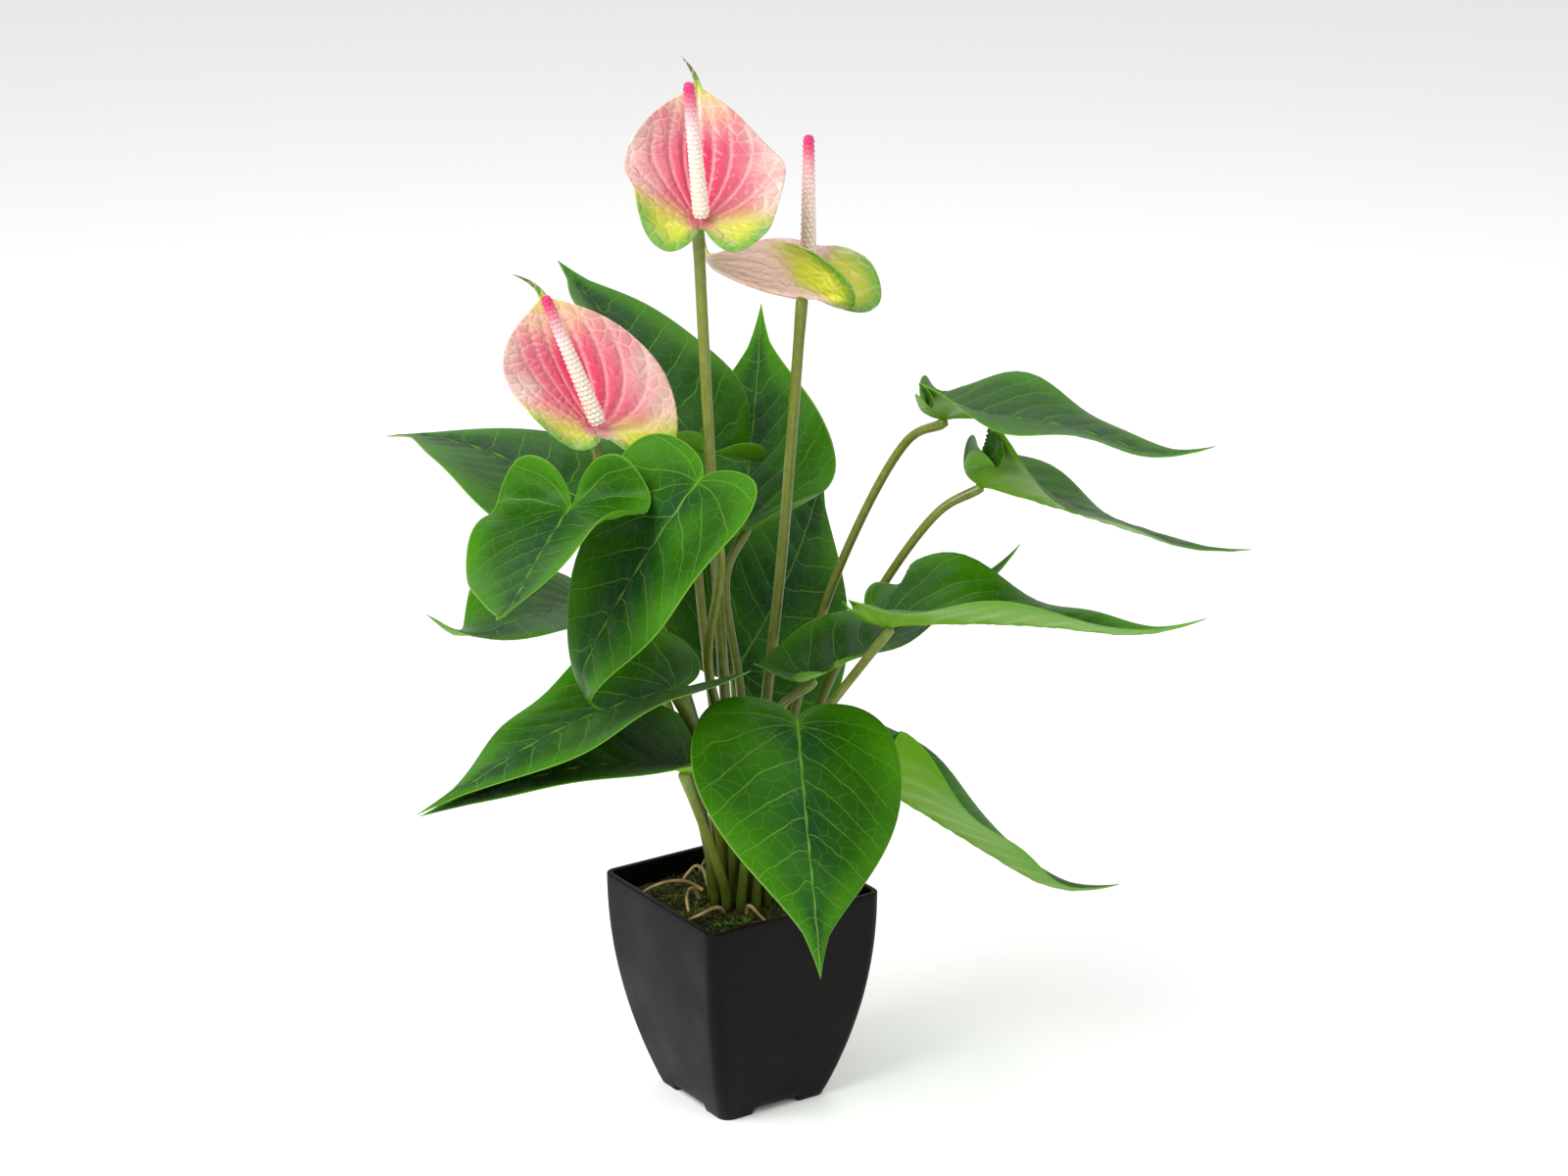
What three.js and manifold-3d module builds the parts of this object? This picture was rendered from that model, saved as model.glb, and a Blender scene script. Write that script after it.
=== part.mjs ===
// Potted anthurium: a small square pot filled with soil and topped with moss, and a plant of fifteen
// heart-shaped leaves and three blossoms whose stems all start on one crown in the middle of the moss.
// Millimetres and degrees, +Z up. The origin is on the ground under the middle of the pot, and the pot's
// sides face X and Y. The plant's own frame is turned about Z by plantTurn: there -Y is the front.
import * as THREE from "three";
import { mergeVertices } from "three/addons/utils/BufferGeometryUtils.js";
import Module from "manifold-3d";

const wasm = await Module();
wasm.setup();

// Clearance between neighbouring solids, so that each stays a body of its own.
const gap = 0.3;

// Pot: a square tub with round corners, drawn in towards the foot along a curve.
const potWidth = 80;
const potHeight = 89;
const potFootWidth = 49;
const potCurve = 2.1;
const potWall = 2.5;
const potFloor = 5;
const potCorner = 5;
const footNotchWidth = 20;
const footNotchHeight = 2.5;
const footBossRadius = 18;

// Filling.
const mossDepth = 5;
const mossBelowRim = 8;

// Plant.
const plantTurn = -33.75;
const leafThickness = 0.8;
const spatheThickness = 0.8;
const petioleDiameter = 4;
const stalkDiameter = 4.8;
const stemClearance = 1;
const stemRise = 5;
const spadixLength = 54;
const spadixBaseDiameter = 7;
const spadixTipDiameter = 4.6;
const rootDiameter = 1.6;

// Sizes that follow from the ones above.
const mossTop = potHeight - mossBelowRim;
const soilTop = mossTop - mossDepth;
const footPitch = stalkDiameter + stemClearance;
const crownRadius = 2 * footPitch + stalkDiameter / 2 + 1;

const colours = {
  pot: { color: 0x1d1c1e, roughness: 0.55 },
  soil: { color: 0x33261c, roughness: 0.95 },
  moss: { color: 0x3c4420, roughness: 0.95 },
  crown: { color: 0x6b5a38, roughness: 0.9 },
  root: { color: 0x9a7c4f, roughness: 0.8 },
  stem: { color: 0x7d8a3c, roughness: 0.5 },
  leaf: { color: 0x2f6b1d, roughness: 0.4 },
  spathe: { color: 0xe9a6ae, roughness: 0.35 },
  spadix: { color: 0xf0d3cf, roughness: 0.5 },
};

// Each leaf: where its petiole joins it, measured from the top of the crown; where its midrib heads, how
// steeply it climbs, and its roll about the midrib; its length, width and lobe depth; then how the blade
// bends: droop and sway curve the midrib, tip bends its end, twist turns the blade about it, fold and furl
// raise both halves (furl only near the petiole), cup curves them, skew tilts them alike, lift raises the
// lobes behind the petiole and opens them flat, and wave ripples the margin.
const leaves = [
  { name: "front", at: [22, -73, 101], heading: -86, pitch: -28, roll: 2, length: 112, width: 82, lobe: 16,
    droop: 7, sway: -2, twist: 12, fold: -12, furl: 6, skew: 8, tip: 11, lift: -6, wave: -1, phase: 0,
    foot: [2, 9], route: [[3, -15, 32], [12, -44, 67]] },
  { name: "front_right", at: [44, 0, 56], heading: 1, pitch: -34, roll: 9, length: 121, width: 92,
    lobe: 18, fold: 18, furl: 14, skew: 4, tip: -44, lift: 35, wave: 4, phase: 0, foot: [2, 11],
    route: [[13, -7, 26], [27, -5, 44]] },
  { name: "right_low", at: [56, -55, 135], heading: -17, pitch: 11, roll: 7, length: 121, width: 92,
    lobe: 19, droop: 22, sway: -10, twist: 6, fold: 14, furl: 14, cup: -5, skew: 3, tip: -33, lift: 50,
    wave: 6, phase: 0.3, foot: [2, 0], route: [[21, -7, 65], [34, -43, 98]] },
  { name: "right_back", at: [27, -28, 104], heading: 33, pitch: 15, roll: 8, length: 106, width: 64,
    lobe: 16, fold: 14, furl: 6, cup: -5, skew: 4, tip: -25, lift: 45, wave: 3, phase: 0.1, foot: [2, 10],
    route: [[11, -11, 62], [15, -15, 86]] },
  { name: "right_high", at: [77, -8, 202], heading: -12, pitch: 8, roll: 3, length: 106, width: 81,
    lobe: 18, droop: 40, twist: -10, fold: 6, furl: 18, cup: -4, skew: 8, tip: -50, lift: 70, wave: 6,
    phase: 0.1, foot: [1, 0], route: [[20, 9, 72], [37, 18, 129], [64, 9, 187]] },
  { name: "right_mid", at: [93, 18, 167], heading: -12, pitch: -12, roll: 7, length: 108, width: 85,
    lobe: 19, droop: 7, sway: -4, twist: -12, fold: 4, furl: 34, cup: -5, skew: 15, tip: -24, lift: 64,
    wave: 5, phase: 0.1, foot: [2, 1], route: [[26, 12, 64], [43, 21, 102], [77, 20, 155]] },
  { name: "back", at: [1, 50, 140], heading: 87, pitch: 17, roll: 28, length: 114, width: 86, lobe: 19,
    droop: -30, sway: 20, twist: 3, fold: 7, furl: -5, cup: 8, tip: -4, lift: 36, wave: -4, phase: -0.1,
    foot: [1, 1], route: [[0, 21, 77], [-6, 39, 122]] },
  { name: "back_left", at: [-19, 42, 176], heading: 132, pitch: 45, roll: -22, length: 112, width: 84,
    lobe: 19, droop: 29, sway: 25, twist: 27, fold: 20, furl: -12, cup: -10, skew: -3, tip: -9, lift: 94,
    wave: -3, phase: 0.25, foot: [2, 4], route: [[-9, 14, 55], [-15, 23, 107]] },
  { name: "centre_back", at: [-2, 46, 81], heading: 53, pitch: 35, roll: -45, length: 113, width: 86,
    lobe: 17, droop: 31, sway: -13, twist: -7, cup: -5, skew: -10, tip: -10, lift: 40, wave: 1, phase: 0,
    foot: [2, 3], route: [[-1, 22, 43]] },
  { name: "centre_front", at: [-15, -71, 196], heading: -150, pitch: -46, roll: 20, length: 111, width: 80,
    lobe: 11, droop: 30, sway: 3, furl: 2, cup: 10, skew: -14, tip: 74, lift: -10, wave: 4, phase: 0.1,
    foot: [1, 4], route: [[-6, -28, 78], [-12, -35, 112], [-7, -54, 162]] },
  { name: "left_front", at: [-63, -60, 182], heading: -106, pitch: -10, roll: -7, length: 98, width: 69,
    lobe: 23, sway: -7, twist: -15, fold: 8, furl: -10, skew: -9, tip: -20, lift: 71, wave: 5, phase: -0.1,
    foot: [2, 7], route: [[-19, -5, 51], [-33, -2, 96], [-50, -18, 137]] },
  { name: "left_high", at: [-57, 0, 163], heading: 139, pitch: 19, roll: 1, length: 114, width: 87,
    lobe: 18, droop: 31, twist: -11, fold: 6, skew: 2, tip: 3, wave: 2, phase: -0.1, foot: [2, 5],
    route: [[-13, 9, 47], [-29, 2, 109]] },
  { name: "left_mid", at: [-59, 47, 106], heading: 246, pitch: 20, roll: -14, length: 111, width: 83,
    lobe: 19, droop: 24, sway: 23, twist: -2, fold: -9, furl: 39, cup: 8, skew: 11, tip: -52, lift: 10,
    wave: 5, phase: -0.25, foot: [2, 6], route: [[-17, 3, 44], [-40, 13, 94]] },
  { name: "left_low", at: [-25, -47, 106], heading: 211, pitch: 0, roll: -6, length: 114, width: 86,
    lobe: 20, droop: 34, sway: 2, twist: -4, fold: -3, furl: 23, cup: 9, tip: -15, lift: -4, wave: 4,
    phase: 0.05, foot: [1, 3], route: [[-8, -9, 28], [-15, -44, 83]] },
  { name: "left_lowest", at: [-21, -43, 72], heading: 213, pitch: 22, roll: 2, length: 115, width: 88,
    lobe: 18, droop: 45, sway: 2, fold: 11, furl: 10, cup: 11, tip: -15, wave: -2, phase: 0, foot: [2, 8],
    route: [[-11, -18, 28]] },
];

// Each blossom: a spathe bent as a leaf is, and the way its spadix leans.
const blossoms = [
  { name: "top", at: [-15, -8, 278], heading: 92, pitch: 39, roll: -12, length: 68, width: 63, lobe: 19,
    droop: -29, sway: -6, twist: -17, fold: 14, furl: 9, cup: 3, skew: 2, tip: 8, lift: 6, wave: -5,
    phase: 0.05, foot: [0, 0], route: [[-6, -5, 87], [-11, -7, 178]], lean: [-1, -2, 12] },
  { name: "right", at: [24, 17, 242], heading: 149, pitch: 0, roll: -25, length: 62, width: 61, lobe: 25,
    droop: -23, sway: 10, twist: 20, fold: 35, furl: 19, cup: -10, skew: 10, tip: -60, lift: -23, wave: -1,
    phase: -0.25, foot: [1, 5], route: [[10, -1, 85], [16, 15, 139]], lean: [0, 0, 1] },
  { name: "left", at: [-54, -32, 204], heading: 110, pitch: 31, roll: -9, length: 73, width: 71, lobe: 18,
    droop: -26, sway: -19, twist: 9, fold: 10, furl: 2, cup: 2, skew: -7, tip: 2, lift: 8, wave: 1,
    phase: -0.3, foot: [1, 2], route: [[-8, 2, 33], [-22, 0, 83], [-48, -19, 161]], lean: [-19, -4, 50] },
];

// Aerial roots over the moss, in the pot's frame: the way each leaves the crown, how far it bends, its
// reach as a share of the room between crown and pot, and how high its arch stands.
const roots = [
  { from: 122, bend: 22, reach: 0.95, rise: 3 },
  { from: 108, bend: 8, reach: 0.55, rise: 8 },
  { from: 86, bend: 2, reach: 0.8, rise: 10 },
  { from: 150, bend: 32, reach: 0.35, rise: 5 },
  { from: 212, bend: -18, reach: 0.6, rise: 4 },
  { from: 244, bend: 14, reach: 0.45, rise: 5 },
  { from: 66, bend: 4, reach: 0.45, rise: 6 },
];

// ---------------------------------------------------------------- solids

function toSolid(geometry) {
  const bare = geometry.clone();
  for (const name of Object.keys(bare.attributes)) {
    if (name !== "position") bare.deleteAttribute(name);
  }
  const merged = mergeVertices(bare, 1e-4);
  return new wasm.Manifold(
    new wasm.Mesh({
      numProp: 3,
      vertProperties: new Float32Array(merged.attributes.position.array),
      triVerts: new Uint32Array(merged.index.array),
    }),
  );
}

function toGeometry(solid) {
  const mesh = solid.getMesh();
  const positions = new Float32Array(mesh.numVert * 3);
  for (let i = 0; i < mesh.numVert; i++) {
    for (let k = 0; k < 3; k++) positions[3 * i + k] = mesh.vertProperties[i * mesh.numProp + k];
  }
  return new THREE.BufferGeometry()
    .setAttribute("position", new THREE.BufferAttribute(positions, 3))
    .setIndex(new THREE.BufferAttribute(mesh.triVerts, 1));
}

function makeMesh(name, geometry, look) {
  geometry.computeVertexNormals();
  const mesh = new THREE.Mesh(geometry, new THREE.MeshStandardMaterial({ ...look, metalness: 0 }));
  mesh.name = name;
  return mesh;
}

// ---------------------------------------------------------------- pot and filling

const potHalfAt = (z) => {
  const down = Math.max(0, 1 - z / potHeight);
  return (potWidth - (potWidth - potFootWidth) * down ** potCurve) / 2;
};

// A level ring of a square with round corners, counter-clockwise from above.
function squareRing(half, corner, z) {
  const ring = [];
  const perCorner = 4;
  for (let quarter = 0; quarter < 4; quarter++) {
    const turn = (quarter * Math.PI) / 2;
    const centre = new THREE.Vector2(half - corner, half - corner).rotateAround(new THREE.Vector2(), turn);
    for (let i = 0; i <= perCorner; i++) {
      const angle = turn + ((i / perCorner) * Math.PI) / 2;
      ring.push(
        new THREE.Vector3(centre.x + corner * Math.cos(angle), centre.y + corner * Math.sin(angle), z),
      );
    }
  }
  return ring;
}

// A closed solid through level rings, lowest first, with flat ends.
function loft(rings) {
  const count = rings[0].length;
  const points = rings.flat();
  const ends = [rings[0], rings[rings.length - 1]];
  for (const ring of ends) points.push(new THREE.Vector3(0, 0, ring[0].z));
  const bottomCentre = points.length - 2;
  const topCentre = points.length - 1;
  const index = [];
  for (let i = 0; i < count; i++) {
    const j = (i + 1) % count;
    index.push(bottomCentre, j, i);
    for (let r = 0; r < rings.length - 1; r++) {
      const low = r * count;
      const high = low + count;
      index.push(low + i, low + j, high + j, low + i, high + j, high + i);
    }
    const last = (rings.length - 1) * count;
    index.push(topCentre, last + i, last + j);
  }
  return new THREE.BufferGeometry().setFromPoints(points).setIndex(index);
}

function levels(low, high, count) {
  return Array.from({ length: count + 1 }, (_, i) => low + ((high - low) * i) / count);
}

// The space inside the pot's wall, drawn in by an inset, between two heights.
function innerLoft(inset, low, high, steps) {
  const corner = Math.max(potCorner - potWall, 1);
  return loft(
    levels(low, high, steps).map((z) => squareRing(potHalfAt(z) - potWall - inset, corner, z)),
  );
}

function makePot() {
  const shell = loft(levels(0, potHeight, 8).map((z) => squareRing(potHalfAt(z), potCorner, z)));
  const corner = Math.max(potCorner - potWall, 1);
  const cavityRings = levels(potFloor, potHeight, 8).map((z) =>
    squareRing(potHalfAt(z) - potWall, corner, z),
  );
  cavityRings.push(squareRing(potWidth / 2 - potWall, corner, potHeight + 1));
  const notchX = new THREE.BoxGeometry(2 * potWidth, footNotchWidth, 2 * footNotchHeight);
  const notchY = new THREE.BoxGeometry(footNotchWidth, 2 * potWidth, 2 * footNotchHeight);
  const boss = new THREE.CylinderGeometry(footBossRadius, footBossRadius, potFloor - gap, 32)
    .rotateX(Math.PI / 2)
    .translate(0, 0, (potFloor - gap) / 2);
  const solid = toSolid(shell)
    .subtract(toSolid(loft(cavityRings)))
    .subtract(toSolid(notchX))
    .subtract(toSolid(notchY))
    .add(toSolid(boss));
  return makeMesh("pot", toGeometry(solid), colours.pot);
}

function makeSoil() {
  return makeMesh("soil", innerLoft(gap, potFloor + gap, soilTop, 6), colours.soil);
}

// Moss lies on the soil as a mat, with a round hole that the crown fills.
function makeMoss() {
  const mat = innerLoft(gap, soilTop + gap, mossTop, 1);
  const holeRadius = crownRadius + gap;
  const hole = new THREE.CylinderGeometry(holeRadius, holeRadius, 4 * mossDepth, 32)
    .rotateX(Math.PI / 2)
    .translate(0, 0, soilTop + mossDepth / 2);
  return makeMesh("moss", toGeometry(toSolid(mat).subtract(toSolid(hole))), colours.moss);
}

function makeCrown() {
  const height = mossDepth - gap;
  const disc = new THREE.CylinderGeometry(crownRadius, crownRadius, height, 32)
    .rotateX(Math.PI / 2)
    .translate(0, 0, soilTop + gap + height / 2);
  return makeMesh("crown", disc, colours.crown);
}

// A closed tube along a curve.
function makeTube(points, diameter, sides, steps) {
  const section = new THREE.Shape().absarc(0, 0, diameter / 2, 0, 2 * Math.PI);
  const path = new THREE.CatmullRomCurve3(points, false, "centripetal");
  return new THREE.ExtrudeGeometry(section, {
    curveSegments: sides / 2,
    steps,
    extrudePath: path,
    bevelEnabled: false,
  });
}

function makeRoot(root, number) {
  const reachFrom = crownRadius + rootDiameter;
  const around = THREE.MathUtils.degToRad(root.from);
  const outwards = Math.max(Math.abs(Math.cos(around)), Math.abs(Math.sin(around)));
  const room = (potHalfAt(mossTop) - potWall) / outwards - rootDiameter - reachFrom;
  const low = mossTop + rootDiameter / 2 + gap;
  const points = [0, 0.25, 0.5, 0.75, 1].map((share) => {
    const radius = reachFrom + room * root.reach * share;
    const angle = THREE.MathUtils.degToRad(root.from + root.bend * share ** 2);
    const height = low + root.rise * Math.sin(Math.PI * share ** 0.8);
    return new THREE.Vector3(radius * Math.cos(angle), radius * Math.sin(angle), height);
  });
  return makeMesh("aerial_root_" + number, makeTube(points, rootDiameter, 6, 12), colours.root);
}

// ---------------------------------------------------------------- blades

// One half of a blade's flat outline, from the notch behind the petiole round the lobe to the tip, for a
// blade one unit long: a is half its width and b its lobes' depth. The petiole joins just ahead of the
// notch, and a spathe ends in a narrow tail.
const notch = 0.03;
const outlines = {
  leaf: (a, b) => [
    [0, -notch, 0.06 * a, -0.6 * b, 0.22 * a, -b, 0.5 * a, -b],
    [0.5 * a, -b, 0.82 * a, -b, a, -0.02, a, 0.16],
    [a, 0.16, a, 0.42, 0.42 * a, 0.66, 0.13 * a, 0.84],
    [0.13 * a, 0.84, 0.07 * a, 0.9, 0.03 * a, 0.95, 0, 1],
  ],
  spathe: (a, b) => [
    [0, -notch, 0.05 * a, -0.65 * b, 0.16 * a, -b, 0.42 * a, -b],
    [0.42 * a, -b, 0.8 * a, -b, a, -0.04, a, 0.26],
    [a, 0.26, a, 0.56, 0.42 * a, 0.73, 0.07 * a, 0.82],
    [0.07 * a, 0.82, 0.03 * a, 0.86, 0.04 * a, 0.94, 0, 1],
  ],
};
const pointsPerStretch = [3, 3, 4, 2];
const ringShares = [1 / 3, 2 / 3, 1];
const ringCentre = 0.3;

// The whole outline, counter-clockwise from the notch, in millimetres.
function bladeOutline(blade, kind) {
  const half = [];
  outlines[kind](blade.width / blade.length / 2, blade.lobe / blade.length).forEach((stretch, i) => {
    const [ax, ay, bx, by, cx, cy, dx, dy] = stretch;
    const curve = new THREE.CubicBezierCurve(
      new THREE.Vector2(ax, ay),
      new THREE.Vector2(bx, by),
      new THREE.Vector2(cx, cy),
      new THREE.Vector2(dx, dy),
    );
    for (let k = 0; k < pointsPerStretch[i]; k++) half.push(curve.getPoint(k / pointsPerStretch[i]));
  });
  const other = half.slice(1).reverse();
  const whole = [...half, new THREE.Vector2(0, 1), ...other.map((p) => new THREE.Vector2(-p.x, p.y))];
  return whole.map((p) => p.multiplyScalar(blade.length));
}

// Bends the flat blade: gives a function from a flat point to its place in the blade's frame, whose X runs
// across the blade, Y along the midrib and Z out of its upper face, with the origin at the petiole.
function bladeBend(blade) {
  const radians = THREE.MathUtils.degToRad;
  const rise = THREE.MathUtils.smoothstep;
  const { droop = 0, sway = 0, twist = 0, fold = 0, furl = 0, cup = 0, skew = 0, tip = 0, lift = 0 } =
    blade;
  const { wave = 0, phase = 0, length } = blade;
  const half = blade.width / 2;
  const ripples = 1.5;

  const slopeAt = (u) =>
    radians(-droop * Math.max(u, 0) + lift * rise(-u, 0, 0.12) - tip * rise(u, 0.62, 1));
  const alongAt = (u) => {
    const slope = slopeAt(u);
    const turn = radians(sway * Math.max(u, 0));
    return u < 0
      ? new THREE.Vector3(0, Math.cos(slope), -Math.sin(slope))
      : new THREE.Vector3(
          Math.sin(turn) * Math.cos(slope),
          Math.cos(turn) * Math.cos(slope),
          Math.sin(slope),
        );
  };

  // The midrib, in steps from the petiole to the tip and from the petiole to behind the lobes.
  const step = 0.02;
  const walk = (direction, count) => {
    const stops = [new THREE.Vector3()];
    for (let i = 0; i < count; i++) {
      const along = alongAt(direction * (i + 0.5) * step);
      stops.push(stops[i].clone().addScaledVector(along, direction * step * length));
    }
    return stops;
  };
  const ahead = walk(1, 50);
  const behind = walk(-1, 20);
  const midribAt = (u) => {
    const stops = u < 0 ? behind : ahead;
    const place = Math.min(Math.abs(u) / step, stops.length - 1.001);
    const i = Math.floor(place);
    return stops[i].clone().lerp(stops[i + 1], place - i);
  };

  return (x, y) => {
    const u = y / length;
    const side = Math.sign(x);
    const share = Math.abs(x) / half;
    const turn = radians(sway * Math.max(u, 0));
    const along = alongAt(u);
    const across = new THREE.Vector3(Math.cos(turn), -Math.sin(turn), 0);
    const out = new THREE.Vector3().crossVectors(across, along);
    const spin = radians(twist * u);
    const acrossSpun = across.clone().multiplyScalar(Math.cos(spin)).addScaledVector(out, Math.sin(spin));
    const outSpun = out.clone().multiplyScalar(Math.cos(spin)).addScaledVector(across, -Math.sin(spin));
    const level = 1 - 0.5 * Math.max(0, Math.sin(radians(lift))) * rise(-u, 0, 0.12);
    const start = level * radians(fold + furl * (1 - rise(u, -0.2, 0.5)) + skew * side);
    const curl = radians(cup) || 1e-4;
    const reach = (half * (Math.sin(start + curl * share) - Math.sin(start))) / curl;
    const ripple = Math.sin(2 * Math.PI * (ripples * u + phase + 0.25 * side));
    const height =
      (half * (Math.cos(start) - Math.cos(start + curl * share))) / curl + wave * share ** 2 * ripple;
    return midribAt(u).addScaledVector(acrossSpun, side * reach).addScaledVector(outSpun, height);
  };
}

// A closed blade of even thickness: rings of the outline drawn in towards one point on the midrib.
function bladeGeometry(blade, kind, thickness) {
  const bend = bladeBend(blade);
  const outline = bladeOutline(blade, kind);
  const centre = new THREE.Vector2(0, ringCentre * blade.length);
  const flat = [centre];
  for (const share of ringShares) {
    for (const p of outline) flat.push(centre.clone().lerp(p, share));
  }
  const probe = 0.4;
  const faceOut = (p) => {
    const across = bend(p.x + probe, p.y).sub(bend(p.x - probe, p.y));
    const along = bend(p.x, p.y + probe).sub(bend(p.x, p.y - probe));
    return across.cross(along).normalize();
  };
  const upper = flat.map((p) => bend(p.x, p.y).addScaledVector(faceOut(p), thickness / 2));
  const lower = flat.map((p) => bend(p.x, p.y).addScaledVector(faceOut(p), -thickness / 2));
  const under = flat.length;
  const count = outline.length;
  const index = [];
  const addFace = (a, b, c) => index.push(a, b, c, under + c, under + b, under + a);
  for (let i = 0; i < count; i++) {
    const j = (i + 1) % count;
    addFace(0, 1 + i, 1 + j);
    for (let r = 1; r < ringShares.length; r++) {
      const inner = 1 + (r - 1) * count;
      const outer = inner + count;
      addFace(inner + i, outer + i, outer + j);
      addFace(inner + i, outer + j, inner + j);
    }
    const rim = 1 + (ringShares.length - 1) * count;
    index.push(under + rim + i, under + rim + j, rim + j, under + rim + i, rim + j, rim + i);
  }
  return new THREE.BufferGeometry().setFromPoints([...upper, ...lower]).setIndex(index);
}

// Across, along and out of the blade where it joins its petiole, in the plant's frame.
function bladeAxes(blade) {
  const heading = THREE.MathUtils.degToRad(blade.heading);
  const pitch = THREE.MathUtils.degToRad(blade.pitch);
  const roll = THREE.MathUtils.degToRad(blade.roll);
  const along = new THREE.Vector3(
    Math.cos(heading) * Math.cos(pitch),
    Math.sin(heading) * Math.cos(pitch),
    Math.sin(pitch),
  );
  const level = new THREE.Vector3(Math.sin(heading), -Math.cos(heading), 0);
  const across = level.clone().applyAxisAngle(along, -roll);
  return { across, along, out: new THREE.Vector3().crossVectors(across, along) };
}

function makeBlade(name, blade, kind, thickness, look) {
  const mesh = makeMesh(name, bladeGeometry(blade, kind, thickness), look);
  const { across, along, out } = bladeAxes(blade);
  mesh.quaternion.setFromRotationMatrix(new THREE.Matrix4().makeBasis(across, along, out));
  mesh.position.set(...blade.at);
  return mesh;
}

// ---------------------------------------------------------------- stems

// Feet stand on the crown in rings of six, twelve and so on around one in the middle.
function footPoint([ring, slot]) {
  const angle = ring ? (slot / (6 * ring)) * 2 * Math.PI : 0;
  return new THREE.Vector3(ring * footPitch * Math.cos(angle), ring * footPitch * Math.sin(angle), gap);
}

// How far a round end has to stand off a blade at its joint, above it (face 1) or under it (face -1), to
// stay clear of the blade's folded halves.
function standOff(blade, face, thickness, radius, direction) {
  const { fold = 0, furl = 0, skew = 0 } = blade;
  const slope = THREE.MathUtils.degToRad(Math.max(0, face * (fold + furl) + Math.abs(skew)));
  const slant = Math.sqrt(Math.max(0, 1 - direction.dot(bladeAxes(blade).out) ** 2));
  return thickness / 2 / Math.cos(slope) + gap + radius * (slant + Math.tan(slope));
}

// A stem from its foot along its route to just under the blade it carries.
function makeStem(name, blade, thickness, diameter) {
  const foot = footPoint(blade.foot);
  const route = blade.route.map((p) => new THREE.Vector3(...p));
  const joint = new THREE.Vector3(...blade.at);
  const arrival = joint.clone().sub(route[route.length - 1]).normalize();
  const drop = standOff(blade, -1, thickness, diameter / 2, arrival);
  const end = joint.addScaledVector(bladeAxes(blade).out, -drop);
  const points = [foot, foot.clone().setZ(gap + stemRise), ...route, end];
  return makeMesh(name, makeTube(points, diameter, 8, 3 * points.length), colours.stem);
}

// A tapered spadix with a round tip, standing on the spathe.
function makeSpadix(name, blossom) {
  const base = spadixBaseDiameter / 2;
  const tip = spadixTipDiameter / 2;
  const profile = [new THREE.Vector2(0, 0), new THREE.Vector2(base * 0.8, 0)];
  for (const share of [0.03, 0.25, 0.5, 0.75]) {
    profile.push(new THREE.Vector2(base + (tip - base) * share, spadixLength * share));
  }
  for (const turn of [0, 30, 60]) {
    const angle = THREE.MathUtils.degToRad(turn);
    profile.push(new THREE.Vector2(tip * Math.cos(angle), spadixLength - tip * (1 - Math.sin(angle))));
  }
  profile.push(new THREE.Vector2(0, spadixLength));
  const mesh = makeMesh(
    name,
    new THREE.LatheGeometry(profile, 16).rotateX(Math.PI / 2),
    colours.spadix,
  );
  const lean = new THREE.Vector3(...blossom.lean).normalize();
  mesh.quaternion.setFromUnitVectors(new THREE.Vector3(0, 0, 1), lean);
  mesh.position
    .set(...blossom.at)
    .addScaledVector(bladeAxes(blossom).out, standOff(blossom, 1, spatheThickness, base, lean));
  return mesh;
}

// ---------------------------------------------------------------- assembly

const plant = new THREE.Group();
plant.rotation.z = THREE.MathUtils.degToRad(plantTurn);
plant.position.z = mossTop;
for (const leaf of leaves) {
  plant.add(makeBlade("leaf_" + leaf.name, leaf, "leaf", leafThickness, colours.leaf));
  plant.add(makeStem("petiole_" + leaf.name, leaf, leafThickness, petioleDiameter));
}
for (const blossom of blossoms) {
  const name = blossom.name;
  plant.add(makeBlade("spathe_" + name, blossom, "spathe", spatheThickness, colours.spathe));
  plant.add(makeStem("flower_stalk_" + name, blossom, spatheThickness, stalkDiameter));
  plant.add(makeSpadix("spadix_" + name, blossom));
}

const pottedAnthurium = new THREE.Group();
pottedAnthurium.add(makePot(), makeSoil(), makeMoss(), makeCrown(), plant);
roots.forEach((root, i) => pottedAnthurium.add(makeRoot(root, i + 1)));

export default pottedAnthurium;
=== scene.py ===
import math
import random

import bpy
import numpy as np
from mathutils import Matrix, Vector


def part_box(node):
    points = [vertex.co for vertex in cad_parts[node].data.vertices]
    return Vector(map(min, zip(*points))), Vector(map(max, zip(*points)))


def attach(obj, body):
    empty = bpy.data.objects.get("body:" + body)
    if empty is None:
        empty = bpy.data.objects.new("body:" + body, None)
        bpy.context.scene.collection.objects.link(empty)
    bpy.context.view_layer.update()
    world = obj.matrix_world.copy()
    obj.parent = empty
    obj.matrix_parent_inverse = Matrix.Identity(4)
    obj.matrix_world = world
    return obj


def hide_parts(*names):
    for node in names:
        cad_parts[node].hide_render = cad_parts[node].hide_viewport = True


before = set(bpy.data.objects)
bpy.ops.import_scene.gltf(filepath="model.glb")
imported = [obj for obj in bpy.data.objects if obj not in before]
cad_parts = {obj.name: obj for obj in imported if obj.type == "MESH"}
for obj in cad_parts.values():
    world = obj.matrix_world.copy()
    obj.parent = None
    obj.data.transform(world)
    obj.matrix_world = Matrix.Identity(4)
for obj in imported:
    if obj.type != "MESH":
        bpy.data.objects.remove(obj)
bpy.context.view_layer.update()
print("frame loaded,", len(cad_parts), "solids")

mm = 0.001
plantTurn = math.radians(-33.75)  # the plant's own frame against the pot's: there -Y is the front
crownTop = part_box("crown")[1][2] / mm  # every height in the plant is measured from here
clearance = 0.3  # mm between one solid and the next


# small helpers


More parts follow.
